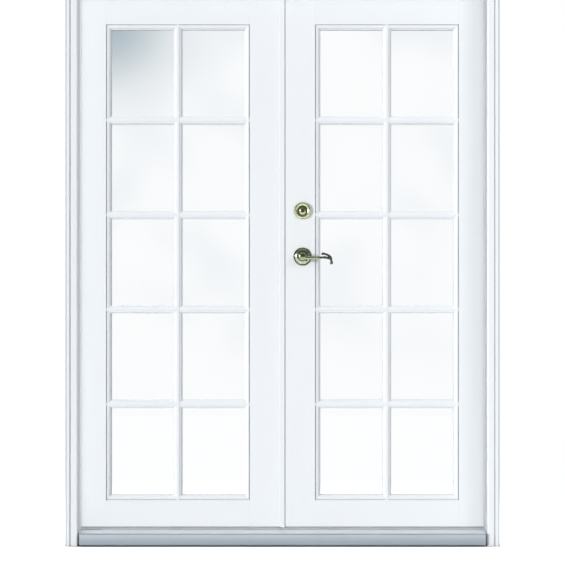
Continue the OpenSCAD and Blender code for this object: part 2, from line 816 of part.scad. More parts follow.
// Turned hub with a square socket, and a drawn arm that ends in a scroll
module lever() {
    difference() {
        turned(hub_outline);
        block([-spindle_w / 2 - seat_clear, -socket_d, -spindle_w / 2 - seat_clear],
            [spindle_w / 2 + seat_clear, over, spindle_w / 2 + seat_clear]);
    }
    translate([0, -lever_reach, 0]) {
        wand(lever_l * arm_shares);
        wand(lever_l * scroll_shares);
        for (b = lever_l * ball_shares) translate([b[0], 0, b[1]]) sphere(r = b[2]);
    }
}

// Outlines of the key lock's outside collar and inside plate, as shares of radius and thickness
collar_shares = [
    [1, 0], [1, 0.25], [0.88, 0.9], [0.8, 1], [0.7, 1], [0.67, 0.82], [0.61, 0.82], [0.55, 0.97], [0.3, 1]
];
plate_shares = [[1, 0], [1, 0.3], [0.92, 0.75], [0.75, 1]];
function shaped(shares, r, t) = [for (s = shares) [s[0] * r, s[1] * t]];
collar_outline = concat(
    [[plug_r + run_clear, 0]], shaped(collar_shares, collar_r, collar_t), [[plug_r + run_clear, collar_t]]
);
plate_outline = concat(
    [[turn_hub_r + run_clear, 0]], shaped(plate_shares, collar_r, plate_disc_t),
    [[turn_hub_r + run_clear, plate_disc_t]]
);

// Flat bar from the key's plug to the thumbturn, or its slot when grown by a clearance
tail_seat = 4;
module tail_bar(grow) {
    block([-tail_t / 2 - grow, -tail_seat - grow, -tail_w / 2 - grow],
        [tail_t / 2 + grow, leaf_t + tail_seat + grow, tail_w / 2 + grow]);
}

paint = "#eef3f7";
brass = "#c8a55c";
metal = "#b3bcc4";
steel = "#c9c9c6";
seal = "#56585a";
clear = [0.85, 0.92, 0.95, 0.35];

module left_jamb() { color(paint) mirror([1, 0, 0]) side_jamb(); }
module right_jamb() { color(paint) side_jamb(); }
module head_jamb() { color(paint) head_blank(); }
module left_brickmould() { color(paint) mirror([1, 0, 0]) side_casing(); }
module right_brickmould() { color(paint) side_casing(); }
module head_brickmould() { color(paint) head_casing(); }
module sill_base() {
    color(paint) difference() {
        sill_length(base_outline);
        bolt_slot(threshold_h - flush_throw, base_h + over);
    }
}
module sill_deck() { color(metal) sill_length(deck_outline); }
module threshold_cap() {
    color(metal) difference() {
        sill_length(cap_outline);
        strike_blank(threshold_h, -1, over);
        bolt_slot(threshold_h - flush_throw, threshold_h + over);
    }
}
module left_weatherstrip() { color(seal) mirror([1, 0, 0]) side_seal(); }
module right_weatherstrip() { color(seal) side_seal(); }
module head_weatherstrip() { color(seal) head_seal(); }
module passive_jamb_hinge_leaves() { color(steel) on_passive() jamb_hinge_halves(); }
module active_jamb_hinge_leaves() { color(steel) on_active() jamb_hinge_halves(); }
module bolt_strikes() {
    color(steel) difference() {
        union() {
            strike_blank(rabbet_z, 1, 0);
            strike_blank(threshold_h, -1, 0);
        }
        bolt_slot(threshold_h - flush_throw, rabbet_z + flush_throw);
    }
}

module passive_hinge_stile() { color(paint) on_passive() hinge_stile_blank(); }
module passive_meeting_stile() {
    color(paint) difference() {
        on_passive() meeting_stile_blank();
        at_lock(lever_h) bolt_pocket(latch_throw + pocket_room);
        at_lock(deadbolt_h) bolt_pocket(bolt_throw + pocket_room);
    }
}
module passive_top_rail() { color(paint) on_passive() top_rail_blank(); }
module passive_bottom_rail() { color(paint) on_passive() bottom_rail_blank(); }
module passive_glazing_bars() { color(paint) on_passive() bars(); }
module passive_glass_panes() { color(clear) on_passive() panes(); }
module passive_glass_spacers() { color(metal) on_passive() spacers(); }
module passive_glazing_beads() { color(paint) on_passive() beads(); }
module passive_sweep() { color(seal) on_passive() sweep_strip(); }
module passive_leaf_hinge_leaves() { color(steel) on_passive() leaf_hinge_halves(); }
module passive_hinge_pins() { color(steel) on_passive() hinge_pins(); }

// T-shaped strip on the first leaf's edge, with a groove at each end for its bolts
module astragal() {
    color(paint) difference() {
        union() {
            block([-meeting_gap / 2, leaf_y, leaf_z], [stem_x1, jamb_d, leaf_top]);
            along_z(leaf_z, strip_top) polygon([
                [strip_x0, leaf_y], [strip_x0, leaf_y - strip_t + strip_round],
                [strip_x0 + strip_round, leaf_y - strip_t], [strip_x1 - strip_round, leaf_y - strip_t],
                [strip_x1, leaf_y - strip_t + strip_round], [strip_x1, leaf_y - strip_relief],
                [stem_x1, leaf_y - strip_relief], [stem_x1, leaf_y]
            ]);
        }
        at_lock(lever_h) bolt_pocket(latch_throw + pocket_room);
        at_lock(deadbolt_h) bolt_pocket(bolt_throw + pocket_room);
        at_lock(lever_h) strike_plate();
        at_lock(deadbolt_h) strike_plate();
        flush_groove(leaf_top - flush_l - slide_clear, leaf_top + over);
        flush_groove(leaf_z - over, leaf_z + flush_l + slide_clear);
    }
}
module latch_strike() {
    color(brass) at_lock(lever_h) difference() {
        strike_plate();
        bolt_pocket(latch_throw + pocket_room);
    }
}
module deadbolt_strike() {
    color(brass) at_lock(deadbolt_h) difference() {
        strike_plate();
        bolt_pocket(bolt_throw + pocket_room);
    }
}
scoop_share = 0.25;
module top_flush_bolt() { color(steel) flush_bolt(leaf_top - flush_l, scoop_share); }
module bottom_flush_bolt() { color(steel) flush_bolt(leaf_z, 1 - scoop_share); }

module active_hinge_stile() { color(paint) on_active() hinge_stile_blank(); }
module active_lock_stile() {
    color(paint) difference() {
        on_active() meeting_stile_blank();
        for (h = [lever_h, deadbolt_h]) at_lock(h) lock_space();
    }
}
module active_top_rail() { color(paint) on_active() top_rail_blank(); }
module active_bottom_rail() { color(paint) on_active() bottom_rail_blank(); }
module active_glazing_bars() { color(paint) on_active() bars(); }
module active_glass_panes() { color(clear) on_active() panes(); }
module active_glass_spacers() { color(metal) on_active() spacers(); }
module active_glazing_beads() { color(paint) on_active() beads(); }
module active_sweep() { color(seal) on_active() sweep_strip(); }
module active_leaf_hinge_leaves() { color(steel) on_active() leaf_hinge_halves(); }
module active_hinge_pins() { color(steel) on_active() hinge_pins(); }

module outside_rose() { color(brass) at_lock(lever_h) rose(true); }
module inside_rose() { color(brass) at_lock(lever_h) inside() rose(false); }
module rose_screws() {
    color(brass) at_lock(lever_h) at_screws() {
        rod_y(-rose_t, screw_head_t - rose_t, screw_head_r);
        rod_y(screw_head_t - rose_t, leaf_t + rose_t / 2, screw_r);
    }
}
spindle_hole_r = spindle_w / sqrt(2) + slide_clear;
tail_hole_r = norm([tail_w, tail_t]) / 2 + slide_clear;
module latch_case() { color(brass) at_lock(lever_h) bolt_case(spindle_hole_r); }
module deadbolt_case() { color(brass) at_lock(deadbolt_h) bolt_case(tail_hole_r); }
module deadbolt_collar() { color(brass) at_lock(deadbolt_h) turned(collar_outline); }
module deadbolt_inside_plate() { color(brass) at_lock(deadbolt_h) inside() turned(plate_outline); }

module outside_lever() { color(brass) at_lock(lever_h) lever(); }
module inside_lever() { color(brass) at_lock(lever_h) inside() lever(); }
spindle_reach = socket_d - over;
module lever_spindle() {
    color(steel) at_lock(lever_h)
        block([-spindle_w / 2, -spindle_reach, -spindle_w / 2], [spindle_w / 2, leaf_t + spindle_reach, spindle_w / 2]);
}

// Latch with a slope towards the outside and a narrower tail that reaches to the spindle
latch_head_l = 30;
latch_tail_w = 5;
latch_nose = 3;
module latch_bolt() {
    tip = -backset - latch_throw;
    tail_x = -latch_throw - spindle_hole_r;
    color(brass) at_lock(lever_h) {
        difference() {
            bolt_bar(tip, tip + latch_head_l, 0);
            along_z(-bolt_h, bolt_h) polygon([
                [tip - over, (leaf_t - bolt_w) / 2 - over], [tip - over, (leaf_t + bolt_w) / 2 - latch_nose],
                [tip, (leaf_t + bolt_w) / 2 - latch_nose], [tip + latch_throw - over, (leaf_t - bolt_w) / 2],
                [tip + latch_throw - over, (leaf_t - bolt_w) / 2 - over]
            ]);
        }
        block([tip + latch_head_l, (leaf_t - latch_tail_w) / 2, -latch_tail_w / 2],
            [tail_x, (leaf_t + latch_tail_w) / 2, latch_tail_w / 2]);
    }
}

// Plug with a narrow key slot in front and a slot for the tailpiece behind
plug_back = 1;
module key_plug() {
    color(brass) at_lock(deadbolt_h) difference() {
        rod_y(-collar_t - plug_stand, -plug_back, plug_r);
        block([-keyway_w / 2, -collar_t - plug_stand - over, -keyway_h / 2],
            [keyway_w / 2, -collar_t / 2, keyway_h / 2]);
        tail_bar(seat_clear);
    }
}
module deadbolt_tailpiece() { color(steel) at_lock(deadbolt_h) tail_bar(0); }

// Hub in the inside plate with a rounded blade, upright while the bolt is drawn back
module thumbturn() {
    stand = plate_disc_t + slide_clear;
    color(brass) at_lock(deadbolt_h) inside() difference() {
        union() {
            rod_y(-stand - hub_foot_t, -plug_back, turn_hub_r);
            along_y(-stand - turn_h, -stand) {
                square([turn_t, turn_l - turn_t], center = true);
                for (way = [-1, 1]) translate([0, way * (turn_l - turn_t) / 2]) circle(d = turn_t);
            }
        }
        block([-tail_t / 2 - seat_clear, -tail_seat - seat_clear, -tail_w / 2 - seat_clear],
            [tail_t / 2 + seat_clear, over, tail_w / 2 + seat_clear]);
    }
}
module deadbolt_bolt() {
    color(brass) at_lock(deadbolt_h) bolt_bar(-backset, -tail_hole_r - case_wall, 0);
}

left_jamb();
right_jamb();
head_jamb();
left_brickmould();
right_brickmould();
head_brickmould();
sill_base();
sill_deck();
threshold_cap();
left_weatherstrip();
right_weatherstrip();
head_weatherstrip();
passive_jamb_hinge_leaves();
active_jamb_hinge_leaves();
bolt_strikes();
passive_hinge_stile();
passive_meeting_stile();
passive_top_rail();
passive_bottom_rail();
passive_glazing_bars();
passive_glass_panes();
passive_glass_spacers();
passive_glazing_beads();
passive_sweep();
passive_leaf_hinge_leaves();
passive_hinge_pins();
astragal();
latch_strike();
deadbolt_strike();
top_flush_bolt();
bottom_flush_bolt();
active_hinge_stile();
active_lock_stile();
active_top_rail();
active_bottom_rail();
active_glazing_bars();
active_glass_panes();
active_glass_spacers();
active_glazing_beads();
active_sweep();
active_leaf_hinge_leaves();
active_hinge_pins();
outside_rose();
inside_rose();
rose_screws();
latch_case();
deadbolt_collar();
deadbolt_inside_plate();
deadbolt_case();
outside_lever();
inside_lever();
lever_spindle();
latch_bolt();
key_plug();
deadbolt_tailpiece();
thumbturn();
deadbolt_bolt();
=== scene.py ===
"""Looks of a pair of french doors in their frame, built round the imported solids."""

import json
import logging
import math
from dataclasses import dataclass, field
from enum import Enum
from typing import Any, Dict, List, Mapping, Sequence, Tuple, Union

import bmesh
import bpy
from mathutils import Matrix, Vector

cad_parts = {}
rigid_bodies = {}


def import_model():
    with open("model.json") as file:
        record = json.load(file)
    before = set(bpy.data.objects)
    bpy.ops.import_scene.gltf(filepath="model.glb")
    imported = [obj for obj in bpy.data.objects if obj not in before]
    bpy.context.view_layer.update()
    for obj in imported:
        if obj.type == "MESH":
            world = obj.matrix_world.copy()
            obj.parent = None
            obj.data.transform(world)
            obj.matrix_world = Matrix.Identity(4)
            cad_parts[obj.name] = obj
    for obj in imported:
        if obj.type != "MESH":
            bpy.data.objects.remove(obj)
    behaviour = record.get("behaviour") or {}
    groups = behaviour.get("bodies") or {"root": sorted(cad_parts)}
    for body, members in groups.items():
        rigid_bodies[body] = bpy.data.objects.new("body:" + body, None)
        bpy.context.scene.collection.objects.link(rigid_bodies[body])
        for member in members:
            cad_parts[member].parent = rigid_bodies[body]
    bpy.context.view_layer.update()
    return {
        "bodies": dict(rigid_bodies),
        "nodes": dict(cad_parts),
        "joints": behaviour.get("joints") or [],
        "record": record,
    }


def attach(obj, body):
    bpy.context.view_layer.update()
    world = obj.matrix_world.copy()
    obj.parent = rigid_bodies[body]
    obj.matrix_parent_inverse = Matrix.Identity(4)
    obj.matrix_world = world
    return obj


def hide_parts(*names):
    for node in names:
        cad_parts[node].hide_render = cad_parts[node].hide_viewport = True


LOG = logging.getLogger("french_doors")

Point = Tuple[float, float, float]
Colour = Tuple[float, float, float]
Span = Tuple[float, float]
Feed = Union["Wire", float, str, Sequence[float], bpy.types.Material]

IMAGE_SIDE = 565.0
MERGE_DISTANCE = 2e-6
FLAT_ANGLE = math.radians(0.4)
CORNER_SAMPLES = 8
WHITE: Colour = (1.0, 1.0, 1.0)


class Grain(Enum):
    """Which way the brush and the wood's grain run."""

    UPRIGHT = "upright"
    ACROSS = "across"


class Facing(Enum):
    """The way that a fastener's head looks, as a direction in the shared frame."""

    LEFT = (-1.0, 0.0, 0.0)
    RIGHT = (1.0, 0.0, 0.0)
    DOWN = (0.0, 0.0, -1.0)
    UP = (0.0, 0.0, 1.0)


@dataclass(frozen=True)
class Cloud:
    """A noise: cells in a metre along X, Y and Z, octaves, and the weight of the finer ones."""

    cells: Point
    octaves: float
    rough: float = 0.5


class Wire:
    """An output socket of a node, with arithmetic that adds Math nodes to its tree."""

    def __init__(self, bench: "Bench", socket: bpy.types.NodeSocket) -> None:
        """Keeps the tree's bench and the socket."""
        self.bench = bench
        self.socket = socket

    def out(self, name: str) -> "Wire":
        """Another output of the same node, by name."""
        return Wire(self.bench, self.socket.node.outputs[name])

    def _pair(self, operation: str, first: Feed, second: Feed) -> "Wire":
        """A Math node of two values."""
        return self.bench.add("ShaderNodeMath", {"operation": operation}, {0: first, 1: second})

    def __add__(self, other: Feed) -> "Wire":
        """This value plus another."""
        return self._pair("ADD", self, other)

    def __radd__(self, other: Feed) -> "Wire":
        """Another value plus this."""
        return self._pair("ADD", other, self)

    def __sub__(self, other: Feed) -> "Wire":
        """This value less another."""
        return self._pair("SUBTRACT", self, other)

    def __rsub__(self, other: Feed) -> "Wire":
        """Another value less this."""
        return self._pair("SUBTRACT", other, self)

    def __mul__(self, other: Feed) -> "Wire":
        """This value times another."""
        return self._pair("MULTIPLY", self, other)

    def __rmul__(self, other: Feed) -> "Wire":
        """Another value times this."""
        return self._pair("MULTIPLY", other, self)

    def __truediv__(self, other: Feed) -> "Wire":
        """This value over another."""
        return self._pair("DIVIDE", self, other)

    def __rtruediv__(self, other: Feed) -> "Wire":
        """Another value over this."""
        return self._pair("DIVIDE", other, self)

    def __pow__(self, other: Feed) -> "Wire":
        """This value to a power."""
        return self._pair("POWER", self, other)

    def __rpow__(self, other: Feed) -> "Wire":
        """Another value to the power of this."""
        return self._pair("POWER", other, self)

    def larger(self, other: Feed) -> "Wire":
        """The larger of this value and another."""
        return self._pair("MAXIMUM", self, other)

    def size(self) -> "Wire":
        """This value without its sign."""
        return self._pair("ABSOLUTE", self, 0.0)

    def rise(self, low: float, high: float) -> "Wire":
        """A smooth step of this value.

        Args:
            low: the value at and below which the step is 0.
            high: the value at and above which the step is 1.

        Returns:
            The step, from 0 to 1.
        """
        span = {"From Min": low, "From Max": high, "To Min": 0.0, "To Max": 1.0}
        return self.bench.add(
            "ShaderNodeMapRange",
            {"interpolation_type": "SMOOTHSTEP", "clamp": True},
            {"Value": self, **span},
        )


class Bench:
    """Adds nodes to one tree."""

    def __init__(self, tree: bpy.types.NodeTree) -> None:
        """Keeps the tree and clears it."""
        self.tree = tree
        tree.nodes.clear()

    @staticmethod
    def _socket(sockets: Any, key: Union[str, int]) -> bpy.types.NodeSocket:
        """Finds a socket.

        Args:
            sockets: a node's inputs or outputs.
            key: a place in the list, an identifier or a name.

        Returns:
            The socket.
        """
        if isinstance(key, int):
            return sockets[key]
        for socket in sockets:
            if socket.identifier == key:
                return socket
        return sockets[key]

    def add(self, kind: str, settings: Mapping[str, Any],
            sockets: Mapping[Union[str, int], Feed], output: Union[str, int] = 0) -> Wire:
        """Adds a node.

        Args:
            kind: the node's type.
            settings: what the node is set to, before anything else.
            sockets: values for its inputs, or wires that feed them.
            output: the output that is wanted.

        Returns:
            That output, or the first input of a node without outputs.
        """
        node = self.tree.nodes.new(kind)
        for name, value in settings.items():
            setattr(node, name, value)
        for key, value in sockets.items():
            socket = self._socket(node.inputs, key)
            if isinstance(value, Wire):
                self.tree.links.new(value.socket, socket)
            else:
                socket.default_value = value
        if not node.outputs:
            return Wire(self, node.inputs[0])
        return Wire(self, self._socket(node.outputs, output))

    def place(self, stretch: Point = (1.0, 1.0, 1.0)) -> Wire:
        """Object coordinates, stretched.

        Args:
            stretch: how many units a metre counts for, along each axis.

        Returns:
            The stretched place.
        """
        spot = self.add("ShaderNodeTexCoord", {}, {}, "Object")
        return self.add("ShaderNodeVectorMath", {"operation": "MULTIPLY"}, {0: spot, 1: stretch})

    def noise(self, cloud: Cloud) -> Wire:
        """Noise on stretched object coordinates.

        Args:
            cloud: the noise's cells and octaves.

        Returns:
            The noise, from 0 to 1.
        """
        return self.add("ShaderNodeTexNoise", {}, {
            "Vector": self.place(cloud.cells), "Scale": 1.0,
            "Detail": cloud.octaves, "Roughness": cloud.rough})

    def tucked(self, reach: float, low: float, high: float) -> Wire:
        """How deep in a corner or groove the surface is.

        Args:
            reach: how near other surfaces count, in metres.
            low: the openness at and below which it counts as deep.
            high: the openness at and above which it doesn't count.

        Returns:
            The depth, from 0 to 1.
        """
        openness = self.add("ShaderNodeAmbientOcclusion", {"samples": CORNER_SAMPLES},
                            {"Distance": reach}, "AO")
        return 1.0 - openness.rise(low, high)

    def blend(self, share: Feed, first: Feed, second: Feed) -> Wire:
        """A mix of two colours.

        Args:
            share: how much of the second shows.
            first: the first colour.
            second: the second colour.

        Returns:
            The mixed colour.
        """
        def full(value: Feed) -> Feed:
            """A colour with its alpha, or the wire as it is."""
            return value if isinstance(value, Wire) else (*value, 1.0)

        ends = {"Factor_Float": share, "A_Color": full(first), "B_Color": full(second)}
        return self.add("ShaderNodeMix", {"data_type": "RGBA"}, ends, "Result_Color")

    def bump(self, height: Wire, strength: float, distance: float) -> Wire:
        """A surface normal from a height.

        Args:
            height: the height.
            strength: how much of it shows.
            distance: what a height of 1 stands for, in metres.

        Returns:
            The normal.
        """
        return self.add("ShaderNodeBump", {}, {
            "Height": height, "Strength": strength, "Distance": distance})


@dataclass(frozen=True)
class Paint:
    """White satin paint on wood, brushed along the grain."""

    name: str
    grain: Grain
    slot: str = "paint"
    colour: Colour = (0.878, 0.902, 0.924)
    thin: Colour = (0.852, 0.877, 0.902)
    # Dark colour of the painted shade in corners and grooves, and of the dark line painted along
    # the moulding's outer edge.
    painted_dark_colour: Colour = (0.420, 0.480, 0.520)
    gloss: float = 0.31
    streak_gloss: float = 0.10
    specular: float = 0.42
    brush: Cloud = Cloud((620.0, 620.0, 9.0), 3.0, 0.55)
    coat: Cloud = Cloud((7.0, 7.0, 2.0), 2.0)
    skin: Cloud = Cloud((900.0, 900.0, 900.0), 2.0)
    wood: Cloud = Cloud((150.0, 150.0, 3.0), 4.0, 0.6)
    coat_thin: Span = (0.42, 0.78)
    coat_share: float = 0.48
    wood_thin: Span = (0.5, 0.8)
    wood_share: float = 0.20
    brush_height: float = 0.6
    skin_height: float = 0.25
    wood_height: float = 0.4
    relief: Span = (0.14, 0.0004)
    # Reach and openness of the painted shade in corners and grooves.
    shade_reach: float = 0.006
    shade_open: Span = (0.2, 0.62)

    def laid(self, bench: Bench, cloud: Cloud) -> Wire:
        """A noise with its long way along the grain.

        Args:
            bench: the material's bench.
            cloud: the noise for upright grain.

        Returns:
            The noise.
        """
        if self.grain is Grain.UPRIGHT:
            return bench.noise(cloud)
        across, deep, up = cloud.cells
        return bench.noise(Cloud((up, deep, across), cloud.octaves, cloud.rough))

    def painted_darkening(self, bench: Bench) -> Wire:
        """How much painted shade darkens the paint in its corners and grooves, from 0 to 1."""
        return bench.tucked(self.shade_reach, *self.shade_open)

    def shader(self, bench: Bench) -> Wire:
        """The paint's shader.

        Args:
            bench: the material's bench.

        Returns:
            The shader.
        """
        brush, coat = self.laid(bench, self.brush), self.laid(bench, self.coat)
        skin, wood = self.laid(bench, self.skin), self.laid(bench, self.wood)
        thin = (coat.rise(*self.coat_thin) * self.coat_share
                + wood.rise(*self.wood_thin) * self.wood_share)
        height = brush * self.brush_height + skin * self.skin_height + wood * self.wood_height
        fresh = bench.blend(thin, self.colour, self.thin)
        return bench.add("ShaderNodeBsdfPrincipled", {}, {
            # Painted shade: the paint darkens in corners and grooves.
            "Base Color": bench.blend(self.painted_darkening(bench), fresh, self.painted_dark_colour),
            "Roughness": self.gloss + brush * self.streak_gloss,
            "Normal": bench.bump(height, *self.relief),
            "Specular IOR Level": self.specular,
        })


@dataclass(frozen=True)
class MouldPaint(Paint):
    """The paint on the outside moulding, with a dark line painted along its outer edge."""

    half_width: float = 0.803
    top: float = 2.112
    line: Span = (-0.0045, -0.0025)
    depth: Span = (-0.028, -0.024)

    def painted_darkening(self, bench: Bench) -> Wire:
        """How much the paint is darkened, from 0 to 1: painted shade in the grooves and a dark
        line along the outer edge.

        Args:
            bench: the material's bench.

        Returns:
            The darkening.
        """
        across = bench.add("ShaderNodeSeparateXYZ", {}, {0: bench.place()}, "X")
        along, up = across.out("Y"), across.out("Z")
        # A dark line painted along the front's outer edge, ending towards the back.
        edge = (across.size() - self.half_width).larger(up - self.top).rise(*self.line)
        return super().painted_darkening(bench).larger(edge * (1.0 - along.rise(*self.depth)))


@dataclass(frozen=True)
class Brass:
    """Polished brass under old lacquer, dulled in soft patches, with patina and painted shade in
    its hollows and where it meets other parts.
    """

    name: str
    slot: str = "brass"
    colour: Colour = (0.660, 0.700, 0.430)
    # Near-black colour of the patina in hollows, of the painted shade where the brass meets other
    # parts, and of the painted darkening away from a lever's axis.
    dull: Colour = (0.290, 0.315, 0.170)
    patina_and_painted_dark: Colour = (0.060, 0.070, 0.045)
    reach: float = 0.012
    corner: Span = (0.40, 0.90)
    gloss: float = 0.13
    worn_gloss: float = 0.22
    buff_gloss: float = 0.05
    patches: Cloud = Cloud((85.0, 85.0, 85.0), 3.0, 0.6)
    specks: Cloud = Cloud((900.0, 900.0, 900.0), 2.0, 0.7)
    buffing: Cloud = Cloud((60.0, 60.0, 1500.0), 2.0)
    patch_wear: Span = (0.46, 0.74)
    patch_share: float = 0.42
    speck_wear: Span = (0.62, 0.80)
    speck_share: float = 0.22
    buff_height: float = 0.5
    speck_height: float = 0.2
    relief: Span = (0.05, 0.0001)

    def tone(self, bench: Bench, worn: Wire) -> Wire:
        """The brass's colour.

        Args:
            bench: the material's bench.
            worn: how worn the lacquer is.

        Returns:
            The colour.
        """
        return bench.blend(worn, self.colour, self.dull)

    def shader(self, bench: Bench) -> Wire:
        """The brass's shader.

        Args:
            bench: the material's bench.

        Returns:
            The shader.
        """
        patches, specks = bench.noise(self.patches), bench.noise(self.specks)
        buff = bench.noise(self.buffing)
        worn = (patches.rise(*self.patch_wear) * self.patch_share
                + specks.rise(*self.speck_wear) * self.speck_share)
        height = buff * self.buff_height + specks * self.speck_height
        # Painted shade: the brass darkens in hollows and where it meets the door and other parts,
        # standing also for patina.
        tucked = bench.tucked(self.reach, *self.corner)
        return bench.add("ShaderNodeBsdfPrincipled", {}, {
            "Base Color": bench.blend(tucked, self.tone(bench, worn), self.patina_and_painted_dark),
            "Metallic": 1.0,
            "Roughness": self.gloss + worn * self.worn_gloss + buff * self.buff_gloss,
            "Normal": bench.bump(height, *self.relief),
        })


@dataclass(frozen=True)
class PaintedDarkBrass(Brass):
    """Brass with painted darkness away from the lever's axis: painted dark reflection on a lever's
    far end and painted shade on a rose's rim.
    """

    axis: Point = (0.07485, 0.0, 1.073)
    bright_reach: float = 0.052
    dark: float = 0.070
    depth: float = 0.85

    def tone(self, bench: Bench, worn: Wire) -> Wire:
        """The brass's colour, with painted darkness away from the axis.

        Args:
            bench: the material's bench.
            worn: how worn the lacquer is.

        Returns:
            The colour.
        """
        off = bench.add("ShaderNodeVectorMath", {"operation": "SUBTRACT"}, {
            0: bench.place((1.0, 0.0, 1.0)), 1: self.axis})
        away = bench.add("ShaderNodeVectorMath", {"operation": "LENGTH"}, {0: off}, "Value")
        # Painted dark reflection on the lever and painted shade on the rose's rim, growing away
        # from the axis.
        share = away.rise(self.bright_reach, self.dark) * self.depth
        return bench.blend(share, super().tone(bench, worn), self.patina_and_painted_dark)


@dataclass(frozen=True)
class BrushedMetal:
    """Bare metal with fine lines along one axis."""

    name: str
    slot: str
    colour: Colour
    stained: Colour
    gloss: float
    lines: Cloud
    metallic: float = 0.92
    haze: Cloud = Cloud((3.0, 26.0, 26.0), 3.0, 0.6)
    haze_stain: Span = (0.45, 0.80)
    haze_share: float = 0.5
    haze_gloss: float = 0.06
    line_stain: Span = (0.50, 0.75)
    line_share: float = 0.35
    line_gloss: float = 0.16
    relief: Span = (0.16, 0.0002)

    def tone(self, bench: Bench, stain: Wire) -> Wire:
        """The metal's colour.

        Args:
            bench: the material's bench.
            stain: how stained the metal is.

        Returns:
            The colour.
        """
        return bench.blend(stain, self.colour, self.stained)

    def shader(self, bench: Bench) -> Wire:
        """The metal's shader.

        Args:
            bench: the material's bench.

        Returns:
            The shader.
        """
        lines, haze = bench.noise(self.lines), bench.noise(self.haze)
        stain = (haze.rise(*self.haze_stain) * self.haze_share
                 + lines.rise(*self.line_stain) * self.line_share)
        return bench.add("ShaderNodeBsdfPrincipled", {}, {
            "Base Color": self.tone(bench, stain),
            "Metallic": self.metallic,
            "Roughness": self.gloss + lines * self.line_gloss + haze * self.haze_gloss,
            "Normal": bench.bump(lines, *self.relief),
        })


@dataclass(frozen=True)
class SillMetal(BrushedMetal):
    """Bare metal, lighter on top and darker down its front towards the foot."""

    upper_colour: Colour = (0.840, 0.870, 0.900)
    stain_share: float = 0.6
    foot: float = 0.014
    low: float = 0.0465
    high: float = 0.0490

    def tone(self, bench: Bench, stain: Wire) -> Wire:
        """The metal's colour, with its stains, darker towards the foot and lighter above the
        front's edge.

        Args:
            bench: the material's bench.
            stain: how stained the metal is.

        Returns:
            The colour.
        """
        height = bench.add("ShaderNodeSeparateXYZ", {}, {0: bench.place()}, "Z")
        # Colour by height: darker towards the foot, lighter above the front's top edge.
        lightness = (1.0 - stain * self.stain_share) * height.rise(self.foot, self.low)
        lower_tone = super().tone(bench, 1.0 - lightness)
        return bench.blend(height.rise(self.low, self.high), lower_tone, self.upper_colour)


@dataclass(frozen=True)
class Rubber:
    """Grey foam seal in a dull skin."""

    name: str
    slot: str = "seal"
    colour: Colour = (0.135, 0.140, 0.146)
    worn: Colour = (0.235, 0.240, 0.245)
    gloss: float = 0.62
    dust_gloss: float = 0.2
    ribs: Cloud = Cloud((700.0, 700.0, 60.0), 2.0)
    dust: Cloud = Cloud((45.0, 45.0, 12.0), 4.0, 0.65)
    dusty: Span = (0.40, 0.75)
    relief: Span = (0.2, 0.0003)

    def shader(self, bench: Bench) -> Wire:
        """The seal's shader.

        Args:
            bench: the material's bench.

        Returns:
            The shader.
        """
        ribs, dust = bench.noise(self.ribs), bench.noise(self.dust)
        return bench.add("ShaderNodeBsdfPrincipled", {}, {
            "Base Color": bench.blend(dust.rise(*self.dusty), self.colour, self.worn),
            "Roughness": self.gloss + dust * self.dust_gloss,
            "Normal": bench.bump(ribs, *self.relief),
        })


@dataclass(frozen=True)
class ClearGlass:
    """Clear float glass that lets the lamps through."""

    name: str
    slot: str = "glass"
    tint: Colour = (0.990, 0.997, 1.0)
    shadow_tint: Colour = (0.96, 0.97, 0.98)
    index: float = 1.33
    smear: float = 0.012
    smeared: Span = (0.50, 0.85)
    draw: Cloud = Cloud((1.6, 1.6, 3.2), 2.0)
    wiping: Cloud = Cloud((5.0, 5.0, 9.0), 3.0, 0.6)
    relief: Span = (0.05, 0.002)

    def shader(self, bench: Bench) -> Wire:
        """The glass's shader.

        Args:
            bench: the material's bench.

        Returns:
            The shader.
        """
        draw, wiped = bench.noise(self.draw), bench.noise(self.wiping)
        body = bench.add("ShaderNodeBsdfPrincipled", {}, {
            "Base Color": (*self.tint, 1.0),
            "Roughness": wiped.rise(*self.smeared) * self.smear,
            "IOR": self.index,
            "Transmission Weight": 1.0,
            "Normal": bench.bump(draw, *self.relief),
        })
        passing = bench.add("ShaderNodeBsdfTransparent", {}, {"Color": (*self.shadow_tint, 1.0)})
        shadow = bench.add("ShaderNodeLightPath", {}, {}, "Is Shadow Ray")
        return bench.add("ShaderNodeMixShader", {}, {0: shadow, 1: body, 2: passing})


Finish = Union[Paint, Brass, BrushedMetal, Rubber, ClearGlass]
LEVER_DULL: Colour = (0.090, 0.108, 0.062)
LEVER_REACH = 0.014


def brush_lines(across: float, deep: float, up: float) -> Cloud:
    """The fine lines in a metal, from the cells in a metre along X, Y and Z."""
    return Cloud((across, deep, up), 4.0, 0.65)


